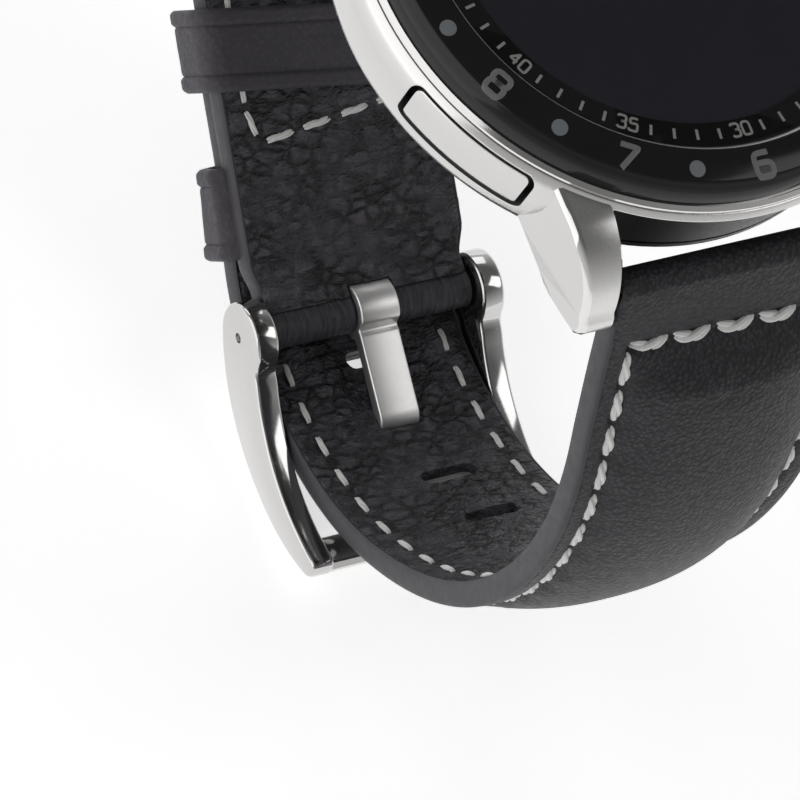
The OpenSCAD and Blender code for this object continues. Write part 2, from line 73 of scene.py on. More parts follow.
LUG_HEADING = -24
STRAP_START = (-22.95, 4.1)
LONG_SEGMENTS = [(15.7, 0), (9.4, 18), (31.1, 54), (22.7, 52), (5.9, 28), (5, 0), (3.85, -11), (15.5, 0)]
LONG_LEN = 109.15
TONGUE_S = 69.1
HOLE_PITCH = 6.2
HOLE_W = 4.9
HOLE_X = 1.15               # the holes sit a little to the right too, and drift from one to the next
HOLE_DRIFT = -0.4
HOLE_SHIFT = -0.45          # distance of the other holes from their even places
HOLE_L = 1.5
TONGUE_HOLE_L = 1.9
TONGUE_HOLE_W = 3.7
SLOPE = 27
PIN = (-1.2, -51.0)
PIN_DEPTH = 0.8
STRAIGHT_L = 28
BEND_R = 15
SHOULDER_R = 24
LINING_T = 1.0
EDGE_T = 2.2
PAD_H = 2.1
HEM = 2.2
STITCH_IN = 1.95            # distance of a row of stitches from the strap's edge
STITCH_PITCH = 3.4
TIP_REACH = 9
LINING_SINK = 0.1           # how far the lining's rows of stitches lie in its face
LINING_SHIFT = 0.15         # the long strap's rows of stitches lie a little to the right on its lining
BAR_T = 1.03                # height of a spring bar's axis over the lining's inner face
LUG_WRAP = (0.95, 1.42)      # inner and outer radius of the leather round a spring bar
PIN_WRAP = (0.82, 1.7)      # the same round the buckle's bar
ROLL_SHIFT = 0.35           # how far the roll's middle lies up the slope from the bar
EAR_R = 3.0
EYE_R = 2.35
EYE_HALF = 1.95
TONGUE_X = 0.3              # the tongue sits a little to the right
TONGUE_HALF = 1.75
ARM_X = 9.2
ARM_T = 2.0
STRAP_W = box_mm("long_strap_upper")[1][0] * 2
TAIL_W = 2 * ARM_X - 0.4
SHORT_W = 19.2
KEEPER_GAP = 0.2
KEEPER_T = 0.9
ROW_S = 5.1                 # distance of the cross row of stitches from the spring bar


def ramp(a, b, x):
    """Smooth step from 0 at a to 1 at b."""
    t = np.clip((np.asarray(x, float) - a) / (b - a), 0, 1)
    return t * t * (3 - 2 * t)


class Path:
    """A route in Y and Z made of arcs. Heading 0 runs down and 90 runs along +Y."""

    def __init__(self, start, segments, mirrored=False):
        self.segments = segments
        self.start = start
        self.mirrored = mirrored

    def place(self, s):
        y, z, heading = self.start
        for i, (length, turn) in enumerate(self.segments):
            last = i == len(self.segments) - 1
            step = min(s, length) if not last else s
            a = math.radians(heading)
            if turn == 0:
                y += math.sin(a) * step
                z -= math.cos(a) * step
            else:
                b = math.radians(heading + turn * step / length)
                radius = length / math.radians(turn)
                y += radius * (math.cos(a) - math.cos(b))
                z -= radius * (math.sin(b) - math.sin(a))
                heading += turn * step / length
            s -= step
            if s <= 1e-9:
                break
        return y, z, math.radians(heading)

    def axes(self, s):
        """Point on the lining's inner face, unit vector outwards and unit vector along the strap."""
        y, z, h = self.place(s)
        side = -1 if self.mirrored else 1
        point = np.array([0, side * y, z])
        out = np.array([0, -side * math.cos(h), -math.sin(h)])
        ahead = np.array([0, side * math.sin(h), -math.cos(h)])
        return point, out, ahead

    def at(self, s, x, t):
        point, out, _ = self.axes(s)
        return point + out * t + np.array([x, 0, 0])


def short_segments():
    slope = math.radians(SLOPE)
    heading = math.radians(LUG_HEADING)
    bend = math.radians(90 - SLOPE)
    foot = (-PIN[0] + PIN_DEPTH * math.sin(slope), PIN[1] + PIN_DEPTH * math.cos(slope))
    end = (foot[0] - STRAIGHT_L * math.cos(slope), foot[1] + STRAIGHT_L * math.sin(slope))
    start = (end[0] - BEND_R * (1 - math.cos(bend)), end[1] + BEND_R * math.sin(bend))
    run = (start[0] - STRAP_START[0] + SHOULDER_R * (1 - math.cos(heading))) / math.sin(heading)
    side = STRAP_START[1] - run * math.cos(heading) + SHOULDER_R * math.sin(heading) - start[1]
    return [(run, 0), (SHOULDER_R * -heading, -LUG_HEADING), (side, 0), (BEND_R * bend, 90 - SLOPE),
            (STRAIGHT_L, 0)]


LONG = Path((*STRAP_START, LUG_HEADING), LONG_SEGMENTS)
SHORT = Path((*STRAP_START, LUG_HEADING), short_segments(), mirrored=True)
SHORT_LEN = sum(length for length, _ in SHORT.segments)
SHORT_ROW_S = SHORT_LEN - 15.2      # the short strap's rows of stitches end in a cross row here


def long_half(s):
    tip = np.clip((np.asarray(s, float) - LONG_LEN + 9) / 9.2, 0, 1)
    return (STRAP_W + (TAIL_W - STRAP_W) * ramp(5, 55, s)) / 2 * np.sqrt(1 - tip * tip)


def long_pad(s):
    return PAD_H * ramp(ROW_S + 0.2, ROW_S + 4.5, s) * (1 - ramp(22, 72, s))


def short_half(s):
    taper = (STRAP_W + (SHORT_W - STRAP_W) * ramp(5, SHORT_LEN - 30, s)) / 2
    return taper + (TAIL_W / 2 - 0.08 - taper) * ramp(SHORT_LEN - 5.6, SHORT_LEN - 2.9, s)


def short_pad(s):
    return PAD_H * ramp(ROW_S + 0.2, ROW_S + 4.5, s) * (1 - ramp(18, SHORT_LEN - 32, s))


# ---- Mesh helpers --------------------------------------------------------------------------------


def new_mesh(name, vertices, faces):
    mesh = bpy.data.meshes.new(name)
    mesh.from_pydata((np.asarray(vertices, float) * MM).tolist(), [], faces)
    work = bmesh.new()
    work.from_mesh(mesh)
    bmesh.ops.recalc_face_normals(work, faces=work.faces)
    work.to_mesh(mesh)
    work.free()
    return mesh


def new_object(name, vertices, faces):
    obj = bpy.data.objects.new(name, new_mesh(name, vertices, faces))
    bpy.context.scene.collection.objects.link(obj)
    return obj


def loft(rings, closed=False, caps=True):
    """Vertices and faces of a skin over rings of equal length. closed joins the last ring to the first."""
    rings = np.asarray(rings, float)
    m, n = rings.shape[:2]
    i, j = np.meshgrid(np.arange(m if closed else m - 1), np.arange(n), indexing="ij")
    a, b = i * n + j, i * n + (j + 1) % n
    up = (i + 1) % m
    faces = np.stack([a, b, up * n + (j + 1) % n, up * n + j], axis=-1).reshape(-1, 4).tolist()
    if caps and not closed:
        faces.append(list(range(n))[::-1])
        faces.append(list(range((m - 1) * n, m * n)))
    return rings.reshape(-1, 3), faces


def join(parts):
    """Several (vertices, faces) as one."""
    vertices, faces, count = [], [], 0
    for v, f in parts:
        vertices.append(np.asarray(v, float))
        faces += [[k + count for k in face] for face in f]
        count += len(v)
    return np.concatenate(vertices), faces


def revolve(profile, count=240):
    """A closed profile of (radius, height) turned round Z."""
    profile = np.asarray(profile, float)
    angles = np.arange(count) * 2 * math.pi / count
    rings = [np.stack([profile[:, 0] * math.cos(a), profile[:, 0] * math.sin(a), profile[:, 1]], 1)
             for a in angles]
    return loft(rings, closed=True)


def prism(outline, x0, x1):
    """An outline in Y and Z extruded along X."""
    outline = np.asarray(outline, float)
    return loft([np.column_stack([np.full(len(outline), x), outline]) for x in (x0, x1)])


def tube(points, radius, sides=16):
    """Vertices and faces of a round tube along points, its ends closed."""
    points = np.asarray(points, float)
    ahead = np.gradient(points, axis=0)
    ahead /= np.linalg.norm(ahead, axis=1)[:, None]
    radius = np.broadcast_to(radius, len(points))
    side = np.cross(ahead[0], [0.31, 0.52, 0.8])
    rings = []
    for p, d, r in zip(points, ahead, radius):
        side = side - d * (side @ d)
        side /= np.linalg.norm(side)
        up = np.cross(d, side)
        turn = np.arange(sides) * 2 * math.pi / sides
        rings.append(p + r * (np.outer(np.cos(turn), side) + np.outer(np.sin(turn), up)))
    return loft(rings)


def arc(centre, radius, a0, a1, count):
    """Points on a circle from angle a0 to a1, in degrees."""
    turn = np.radians(np.linspace(a0, a1, count))
    return [(centre[0] + radius * math.cos(a), centre[1] + radius * math.sin(a)) for a in turn]


def arc3(a, b, c, count):
    """Points on the circle through three points, from a to c."""
    a, b, c = (np.array(p, float) for p in (a, b, c))
    d = 2 * (a[0] * (b[1] - c[1]) + b[0] * (c[1] - a[1]) + c[0] * (a[1] - b[1]))
    ux = (a @ a * (b[1] - c[1]) + b @ b * (c[1] - a[1]) + c @ c * (a[1] - b[1])) / d
    uy = (a @ a * (c[0] - b[0]) + b @ b * (a[0] - c[0]) + c @ c * (b[0] - a[0])) / d
    a0 = math.degrees(math.atan2(a[1] - uy, a[0] - ux))
    a1 = math.degrees(math.atan2(c[1] - uy, c[0] - ux))
    sweep = (a1 - a0 + 540) % 360 - 180
    return arc((ux, uy), math.hypot(a[0] - ux, a[1] - uy), a0, a0 + sweep, count)


def bake(obj):
    """Applies the object's modifiers to its mesh."""
    graph = bpy.context.evaluated_depsgraph_get()
    mesh = bpy.data.meshes.new_from_object(obj.evaluated_get(graph))
    obj.modifiers.clear()
    obj.data = mesh


def carve(obj, cutters, operation="DIFFERENCE", solver="MANIFOLD"):
    """Cuts the cutters from obj, or joins or intersects them, and removes them."""
    for cutter in cutters:
        modifier = obj.modifiers.new("carve", "BOOLEAN")
        modifier.operation = operation
        modifier.solver = solver
        modifier.object = cutter
        bake(obj)
        bpy.data.objects.remove(cutter)
    return obj


def bevel(obj, width, segments=3, angle=30, material=-1):
    modifier = obj.modifiers.new("bevel", "BEVEL")
    modifier.width = width * MM
    modifier.segments = segments
    modifier.limit_method = "ANGLE"
    modifier.angle_limit = math.radians(angle)
    modifier.material = material
    modifier.use_clamp_overlap = True
    modifier.miter_outer = "MITER_ARC"
    bake(obj)
    return obj


def finish_piece(obj, body, material, replaces=(), sharp=35):
    """Shades a piece, gives it its material and its body, and hides the CAD nodes it stands for."""
    obj.data.shade_smooth()
    obj.data.set_sharp_from_angle(angle=math.radians(sharp))
    if material is not None:
        obj.data.materials.clear()
        obj.data.materials.append(material)
    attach(obj, body)
    if replaces:
        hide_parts(*replaces)
    return obj


def turned(vertices, degrees):
    """Vertices turned clockwise round Z, as seen from the front."""
    a = math.radians(-degrees)
    turn = np.array([[math.cos(a), -math.sin(a), 0], [math.sin(a), math.cos(a), 0], [0, 0, 1]])
    return np.asarray(vertices, float) @ turn.T


# ---- Materials -----------------------------------------------------------------------------------


class Shader:
    """A Principled material and short calls for the nodes that drive it."""

    def __init__(self, name, **sockets):
        self.material = bpy.data.materials.new(name)
        self.material.use_nodes = True
        self.tree = self.material.node_tree
        self.shader = self.tree.nodes["Principled BSDF"]
        self.coords = self.tree.nodes.new("ShaderNodeTexCoord").outputs["Object"]
        for key, value in sockets.items():
            self.shader.inputs[key.replace("_", " ")].default_value = value

    def node(self, kind, **links):
        node = self.tree.nodes.new(kind)
        for key, value in links.items():
            self.feed(node.inputs[key.replace("_", " ")], value)
        return node

    def feed(self, socket, value):
        if isinstance(value, bpy.types.NodeSocket):
            self.tree.links.new(value, socket)
        else:
            socket.default_value = value

    def stretched(self, scale):
        """Object coordinates scaled per axis."""
        return self.node("ShaderNodeMapping", Vector=self.coords, Scale=scale).outputs["Vector"]

    def bent(self, coords, size, amount):
        """Coordinates moved about by noise whose features are about size millimetres, by up to amount."""
        wave = self.node("ShaderNodeTexNoise", Vector=coords, Scale=1 / (size * MM), Detail=2.0)
        scaled = self.node("ShaderNodeVectorMath")
        scaled.operation = "MULTIPLY"
        self.feed(scaled.inputs[0], wave.outputs["Color"])
        self.feed(scaled.inputs[1], (amount * MM, amount * MM, amount * MM))
        moved = self.node("ShaderNodeVectorMath")
        self.feed(moved.inputs[0], coords)
        self.feed(moved.inputs[1], scaled.outputs[0])
        return moved.outputs[0]

    def noise(self, size, detail=3, rough=0.55, coords=None, distortion=0):
        """Noise whose features are about size millimetres."""
        node = self.node("ShaderNodeTexNoise", Vector=coords or self.coords, Scale=1 / (size * MM),
                         Detail=detail, Roughness=rough, Distortion=distortion)
        return node.outputs["Fac"]

    def cells(self, size, feature="F1", coords=None, smooth=0.4, random=1.0):
        node = self.tree.nodes.new("ShaderNodeTexVoronoi")
        node.feature = feature
        self.feed(node.inputs["Vector"], coords or self.coords)
        node.inputs["Scale"].default_value = 1 / (size * MM)
        node.inputs["Randomness"].default_value = random
        if feature == "SMOOTH_F1":
            node.inputs["Smoothness"].default_value = smooth
        return node.outputs["Distance"]

    def range(self, value, a, b, low=0.0, high=1.0):
        node = self.tree.nodes.new("ShaderNodeMapRange")
        node.inputs["From Min"].default_value = a
        node.inputs["From Max"].default_value = b
        node.inputs["To Min"].default_value = low
        node.inputs["To Max"].default_value = high
        self.feed(node.inputs["Value"], value)
        return node.outputs["Result"]

    def mix(self, factor, a, b):
        """Colour a where factor is 0 and b where it is 1."""
        node = self.tree.nodes.new("ShaderNodeMix")
        node.data_type = "RGBA"
        self.feed(node.inputs["Factor"], factor)
        self.feed(node.inputs["A"], a)
        self.feed(node.inputs["B"], b)
        return node.outputs["Result"]

    def math(self, operation, a, b=0.0):
        node = self.tree.nodes.new("ShaderNodeMath")
        node.operation = operation
        self.feed(node.inputs[0], a)
        self.feed(node.inputs[1], b)
        return node.outputs[0]

    def colour(self, value):
        self.feed(self.shader.inputs["Base Color"], value)

    def rough(self, value):
        self.feed(self.shader.inputs["Roughness"], value)

    def bump(self, *layers):
        """Each layer is (height, depth in millimetres, strength)."""
        normal = None
        for height, depth, strength in layers:
            node = self.node("ShaderNodeBump", Height=height, Distance=depth * MM, Strength=strength)
            if normal is not None:
                self.feed(node.inputs["Normal"], normal)
            normal = node.outputs["Normal"]
        self.feed(self.shader.inputs["Normal"], normal)


def rgb(value, tint=(1, 1, 1)):
    """Linear colour of a grey, tinted."""
    return (value * tint[0], value * tint[1], value * tint[2], 1)


LEATHER_TINT = (1.03, 0.95, 1.11)
STEEL_TINT = (1.0, 0.988, 0.972)


def leather_top():
    """Smooth calf leather: fine even pebbles, painted darker in the grooves between them as shade."""
    s = Shader("leather_top", Specular_IOR_Level=0.3)
    patches = s.noise(6, 3)
    # Painted shade: this mask is high in the grooves between pebbles, where the bump sinks, and darkens the
    # colour there.
    pit_shade = s.range(s.cells(0.34), 0.12, 0.6)
    base = s.mix(patches, rgb(0.030, LEATHER_TINT), rgb(0.046, LEATHER_TINT))
    s.colour(s.mix(s.range(pit_shade, 0.0, 1.0, 0.0, 0.75), base, rgb(0.010, LEATHER_TINT)))
    s.rough(s.range(s.noise(0.5, 2), 0.3, 0.7, 0.42, 0.56))
    s.bump((s.noise(1.6, 4), 0.10, 0.35), (s.cells(0.34), -0.08, 0.9), (s.noise(0.12, 2), 0.012, 0.6))
    return s.material


def leather_lining():
    """Coarse lining leather: creases that come and go in a net over smaller wrinkles, with painted shade
    darkening the colour along the creases.
    """
    s = Shader("leather_lining", Specular_IOR_Level=0.42)
    bent = s.bent(s.stretched((0.66, 1.0, 1.0)), 1.6, 0.7)
    shown = s.range(s.noise(5, 2), 0.38, 0.6)
    net = s.range(s.cells(1.2, "DISTANCE_TO_EDGE", coords=bent), 0.0, 0.2)
    fine = s.range(s.cells(0.5, "DISTANCE_TO_EDGE", coords=bent), 0.0, 0.25)
    lines = s.math("MAXIMUM", net, s.range(shown, 0, 1, 0.75, 0.0))
    base = s.mix(s.range(s.noise(1.6, 5), 0.3, 0.7), rgb(0.028, LEATHER_TINT), rgb(0.1, LEATHER_TINT))
    # Painted shade: lines is low along the creases, and the colour goes nearly black there.
    s.colour(s.mix(lines, rgb(0.007, LEATHER_TINT), base))
    s.rough(s.range(s.noise(0.4, 3), 0.3, 0.7, 0.34, 0.52))
    s.bump((s.noise(0.9, 5, 0.6, distortion=0.8), 0.32, 0.9), (lines, 0.2, 0.9), (fine, 0.1, 0.8),
           (s.noise(0.2, 3), 0.03, 0.7))
    return s.material


def leather_roll():
    """Leather folded round the buckle's bar: fine wrinkles that run round the bar, painted darker in their
    troughs and lighter on their crests as shade and light.
    """
    s = Shader("leather_roll", Specular_IOR_Level=0.4)
    wrinkles = s.noise(0.32, 3, coords=s.stretched((1, 0.16, 0.16)), distortion=0.3)
    # Painted light and shade: the colour follows the wrinkles' height, dark in the troughs and light on the
    # crests.
    s.colour(s.mix(s.range(wrinkles, 0.3, 0.7), rgb(0.018, LEATHER_TINT), rgb(0.062, LEATHER_TINT)))
    s.rough(s.range(s.noise(0.4, 3), 0.3, 0.7, 0.42, 0.58))
    s.bump((wrinkles, 0.2, 1.0), (s.cells(0.34), -0.04, 0.6))
    return s.material


def leather_keeper():
    s = Shader("leather_keeper", Specular_IOR_Level=0.3)
    # Painted shade: the colour darkens a little in the grooves between pebbles, where the bump sinks.
    pit_shade = s.range(s.cells(0.42), 0.12, 0.6)
    base = s.mix(s.noise(3, 3), rgb(0.058, LEATHER_TINT), rgb(0.082, LEATHER_TINT))
    s.colour(s.mix(s.range(pit_shade, 0.0, 1.0, 0.0, 0.3), base, rgb(0.024, LEATHER_TINT)))
    s.rough(s.range(s.noise(0.5, 2), 0.3, 0.7, 0.48, 0.62))
    s.bump((s.noise(1.1, 4), 0.10, 0.5), (s.cells(0.42), -0.05, 0.8), (s.noise(0.12, 2), 0.012, 0.5))
    return s.material


def edge_paint():
    """Satin paint on the cut edges, with faint drag marks along the strap."""
    s = Shader("edge_paint", Specular_IOR_Level=0.4)
    s.colour(s.mix(s.noise(2.5, 3), rgb(0.034, LEATHER_TINT), rgb(0.045, LEATHER_TINT)))
    s.rough(s.range(s.noise(0.8, 3), 0.3, 0.7, 0.42, 0.55))
    s.bump((s.noise(1.4, 3), 0.05, 0.3), (s.noise(0.2, 2), 0.006, 0.4))
    return s.material


def thread():
    s = Shader("thread", Roughness=0.72, Sheen_Weight=0.25)
    s.colour(s.mix(s.noise(0.35, 3), rgb(0.66, (1, 0.99, 0.97)), rgb(0.85, (1, 0.99, 0.97))))
    s.bump((s.noise(0.07, 2, coords=s.stretched((1, 1, 0.4))), 0.02, 0.8),)
    return s.material


def padding_foam():
    s = Shader("padding_foam", Roughness=0.9)
    s.colour(s.mix(s.noise(1, 3), rgb(0.3), rgb(0.42)))
    s.bump((s.cells(0.4), 0.05, 0.7),)
    return s.material


COPPER = ((0.62, 0.27, 0.14, 1), (0.72, 0.36, 0.2, 1))


def steel(name, tone=0.74, low=0.14, high=0.24, grain=(1, 1, 14), depth=0.004, colours=None):
    """Metal with fine brush marks that run across the direction of grain's largest number: steel of this
    tone, or a metal of two other colours."""
    s = Shader(name, Metallic=1.0)
    lines = s.noise(0.5, 3, coords=s.stretched(grain))
    first, second = colours or (rgb(tone, STEEL_TINT), rgb(tone * 1.07, STEEL_TINT))
    s.colour(s.mix(s.noise(5, 3), first, second))
    s.rough(s.range(lines, 0.3, 0.7, low, high))
    s.bump((lines, depth, 0.5),)
    return s.material


def gloss_black(name="bezel_black", tone=0.009, low=0.1, high=0.13):
    s = Shader(name, Specular_IOR_Level=0.34)
    s.colour(s.mix(s.noise(3, 2), rgb(tone), rgb(tone * 1.5)))
    s.rough(s.range(s.noise(1.2, 3), 0.3, 0.7, low, high))
    s.bump((s.noise(5, 2), 0.01, 0.15),)
    return s.material


def matt_plastic(name, tone, low=0.38, high=0.5, tint=(1, 1, 1), specular=0.5):
    s = Shader(name, Specular_IOR_Level=specular)
    s.colour(s.mix(s.noise(2, 3), rgb(tone * 0.85, tint), rgb(tone * 1.15, tint)))
    s.rough(s.range(s.noise(0.3, 3), 0.3, 0.7, low, high))
    s.bump((s.noise(0.15, 3), 0.008, 0.5),)
    return s.material


def print_ink(name, tone, tint=(1, 1, 1)):
    s = Shader(name)
    s.colour(s.mix(s.noise(0.3, 3), rgb(tone * 0.93, tint), rgb(tone * 1.07, tint)))
    s.rough(s.range(s.noise(0.2, 2), 0.3, 0.7, 0.35, 0.5))
    return s.material


def display_black():
    """The switched-off display: a very dark blue grey with a faint grid of pixels."""
    s = Shader("display_black", Specular_IOR_Level=0.35)
    grid = s.cells(0.08, random=0.0)
    tone = s.mix(s.noise(14, 2), (0.044, 0.0435, 0.058, 1), (0.052, 0.053, 0.07, 1))
    s.colour(s.mix(s.range(grid, 0.2, 0.7, 0.0, 0.25), tone, (0.036, 0.036, 0.05, 1)))
    s.rough(s.range(s.noise(2, 2), 0.3, 0.7, 0.3, 0.38))
    return s.material


def clear_glass():
    """Thin glass: clear, with the reflection that Fresnel gives."""
    s = Shader("clear_glass", Roughness=0.02, Metallic=0.0)
    s.colour(s.mix(s.noise(8, 2), (0.02, 0.02, 0.022, 1), (0.03, 0.03, 0.032, 1)))
    facing = s.tree.nodes.new("ShaderNodeFresnel")
    facing.inputs["IOR"].default_value = 1.22
    clear = s.tree.nodes.new("ShaderNodeBsdfTransparent")
    blend = s.tree.nodes.new("ShaderNodeMixShader")
    s.tree.links.new(facing.outputs["Fac"], blend.inputs[0])
    s.tree.links.new(clear.outputs[0], blend.inputs[1])
    s.tree.links.new(s.shader.outputs[0], blend.inputs[2])
    s.tree.links.new(blend.outputs[0], s.tree.nodes["Material Output"].inputs["Surface"])
    return s.material


def circuit_board():
    s = Shader("circuit_board", Roughness=0.35)
    tracks = s.range(s.cells(1.1, "DISTANCE_TO_EDGE", random=0.6), 0.02, 0.06)
    s.colour(s.mix(tracks, (0.05, 0.16, 0.06, 1), (0.01, 0.06, 0.025, 1)))
    s.bump((tracks, 0.02, 0.5),)
    return s.material


MAT = {
    "top": leather_top(),
    "lining": leather_lining(),
    "keeper": leather_keeper(),
    "edge": edge_paint(),
    "thread": thread(),
    "foam": padding_foam(),
    "steel": steel("case_steel", 0.62),
    "satin": steel("satin_steel", 0.68, 0.26, 0.36, (14, 1, 1), 0.006),
    "polished": steel("polished_steel", 0.74, 0.06, 0.12, (1, 1, 6), 0.002),
    "buckle": steel("buckle_steel", 0.62, 0.07, 0.15, (1, 6, 6), 0.002),
    "tongue": steel("tongue_steel", 0.86, 0.38, 0.44, (1, 6, 6), 0.002),
    "small": steel("spring_steel", 0.62, 0.2, 0.3, (6, 1, 1)),
    "foil": steel("battery_foil", 0.55, 0.3, 0.4, (1, 1, 1), 0.02),
    "bezel": gloss_black(),
    "case_black": matt_plastic("case_black", 0.013, 0.3, 0.42),
    "window": gloss_black("sensor_glass", 0.006),
    "rubber": matt_plastic("seal_rubber", 0.02, 0.6, 0.75),
    "plastic": matt_plastic("inner_plastic", 0.09),
    "chip": matt_plastic("chip_plastic", 0.03),
    "lens": matt_plastic("sensor_lens", 0.6, 0.12, 0.2),
    "board": circuit_board(),
    "copper": steel("copper", low=0.25, high=0.35, colours=COPPER),
    "digits": print_ink("bezel_digits", 0.165, (1, 0.99, 0.985)),
    # Dark matt coat for the walls of the pusher windows: painted shade in the gap round each cap.
    "window_gap_shade": matt_plastic("window_gap_shade", 0.07, 0.25, 0.35),
    # Grey metal for the ring on the bezel's inner chamfer: painted highlight of that edge.
    "inner_glint": steel("bezel_edge_highlight", 0.42, 0.3, 0.4),
    "roll": leather_roll(),
    "dots": print_ink("bezel_dots", 0.19, (0.9, 1.0, 1.08)),
    "marks": print_ink("dial_marks", 0.62, (1, 1, 0.97)),
    "display": display_black(),
    "glass": clear_glass(),
    "ring": matt_plastic("dial_black", 0.008, 0.3, 0.42),
}

CAD_FINISH = {
    "inner_case": "case_black", "bezel_carrier": "polished", "glass_gasket": "rubber",
    "minute_ring": "ring", "display_panel": "display", "display_frame": "plastic",
    "main_board": "board", "board_chips": "chip", "battery_tray": "plastic", "battery": "foil",
    "vibration_motor": "small", "speaker": "chip", "charging_coil": "copper", "ferrite_sheet": "chip",
    "sensor_board": "board", "optical_sensors": "lens", "sensor_window": "window",
    "back_cover": "case_black", "back_gasket": "rubber", "case_screws": "small",
    "pusher_seals": "rubber", "pusher_switches": "chip", "cover_glass": "glass",
    "spring_bar_tubes": "small", "spring_bar_coils": "small", "buckle_bar": "small",
}
for hour in (2, 4, 8, 10):
    CAD_FINISH[f"pusher_clip_{hour}"] = "small"
for clock in (6, 12):
    for side in ("left", "right"):
        CAD_FINISH[f"bar_pin_{clock}_{side}"] = "small"


def dress_cad():
    """Gives the CAD nodes that stay their materials."""
    for name, key in CAD_FINISH.items():
        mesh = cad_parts[name].data
        mesh.materials.clear()
        mesh.materials.append(MAT[key])


# ---- Strap sheets --------------------------------------------------------------------------------

HEM_SAMPLES = 14
CROWN_SAMPLES = 37
SWELL_SCALE = 20            # the cloth simulation runs on a copy this many times larger
SWELL_CAP = 0.4             # furthest a point of the leather may swell


def across(half, hem_samples=HEM_SAMPLES, crown_samples=CROWN_SAMPLES):
    """Places across a strap from -half to half, closer together in the sewn hems."""
    hem = min(2.7, half * 0.45)
    left = -half + hem * np.linspace(0, 1, hem_samples + 1)[:-1]
    return np.concatenate([left, np.linspace(hem - half, half - hem, crown_samples), -left[::-1]])


def holes_wave(s, start):
    """1 at the needle holes between stitches and 0 halfway along each stitch."""
    return 0.5 + 0.5 * np.cos((s - start) / STITCH_PITCH * 2 * math.pi)


def upper_top(s, x, half, pad, rows_end, depth=0.3):
    """Height of the upper leather over the lining's inner face."""
    edge = half - np.abs(x)
    u = np.clip(np.abs(x) / max(half - HEM, 0.1), 0, 1)
    crown = (1 - u ** 2.4) ** 0.72
    t = EDGE_T - 0.04 + pad * crown + (BAR_T + LUG_WRAP[1] - EDGE_T) * (1 - ramp(1.0, ROW_S - 0.2, s))
    t = t - 0.3 * (1 - np.clip(edge / 0.55, 0, 1)) ** 2
    sewn = ramp(ROW_S - 0.5, ROW_S + 0.3, s) * (1 - ramp(rows_end, rows_end + 1, s))
    holes = holes_wave(s, ROW_S)
    channel = np.exp(-((edge - STITCH_IN) / 0.42) ** 2) * sewn
    crease = 0.05 * np.exp(-((edge - 0.85) / 0.16) ** 2) * sewn
    puff = 0.11 * np.exp(-((edge - STITCH_IN - 0.95) / 0.5) ** 2) * sewn * (1 - holes) * min(1, pad)
    inside = ramp(STITCH_IN - 0.5, STITCH_IN, edge)
    cross = 0.55 * np.exp(-((s - ROW_S) / 0.65) ** 2) * inside
    return t - depth * channel * (0.75 + 0.5 * holes) - crease + puff - cross


def sheet_rings(path, stations, half_fn, pad_fn, rows_end, laterals, end_wrap=False):
    """Rings of the upper leather: round the spring bar, along the strap and, at the buckle, round its bar."""
    rings, marks = [], []

    def add(centre, direction, half, low, high, s):
        x = laterals(half)
        low = np.broadcast_to(low, x.shape)
        high = np.broadcast_to(high, x.shape)
        top = centre + np.outer(high, direction)
        bottom = centre + np.outer(low, direction)
        top[:, 0] = x
        bottom[:, 0] = x
        rings.append(np.concatenate([top, bottom[::-1]]))
        marks.append(s)

    point, out, ahead = path.axes(0)
    bar = point + out * BAR_T
    half = float(half_fn(0)) - 0.05
    for q in np.linspace(4.4, 0.3, 9):
        thin = LUG_WRAP[1] - 0.3 * float(ramp(0.6, 4.4, q))
        add(bar + ahead * q, -out, half, LUG_WRAP[0], thin, -9.0)
    for phi in np.linspace(math.pi, math.pi / 16, 16):
        direction = out * math.cos(phi) - ahead * math.sin(phi)
        roundness = 0.25 * np.clip(1 - (half - np.abs(laterals(half))) / 0.5, 0, 1) ** 2
        add(bar, direction, half, LUG_WRAP[0], LUG_WRAP[1] - roundness, -phi)
    for s in stations:
        point, out, _ = path.axes(s)
        half = float(half_fn(s))
        x = laterals(half)
        top = upper_top(s, x, half, float(pad_fn(s)), rows_end)
        blend = float(ramp(0.0, 2.4, s))
        under = np.maximum(LINING_T + 0.01, (BAR_T + LUG_WRAP[0]) * (1 - blend) + (top - 1.05) * blend)
        add(point, out, half, np.minimum(under, top - 0.3), top, s)
    if end_wrap:
        s_pin = SHORT_LEN
        point, out, ahead = path.axes(s_pin)
        pin = point + out * PIN_DEPTH
        half = float(half_fn(s_pin))
        for phi in np.linspace(math.radians(6), math.radians(262), 36):
            direction = out * math.cos(phi) + ahead * math.sin(phi)
            shift = -ahead * ROLL_SHIFT
            reach = PIN_WRAP[1] + float(direction @ shift)
            wrinkle = [0.05 * noise.noise(Vector((x * 2.2, phi * 0.7, 1))) for x in laterals(half)]
            add(pin, direction, half, PIN_WRAP[0], reach + np.array(wrinkle), s_pin + phi)
    return np.array(rings), np.array(marks)


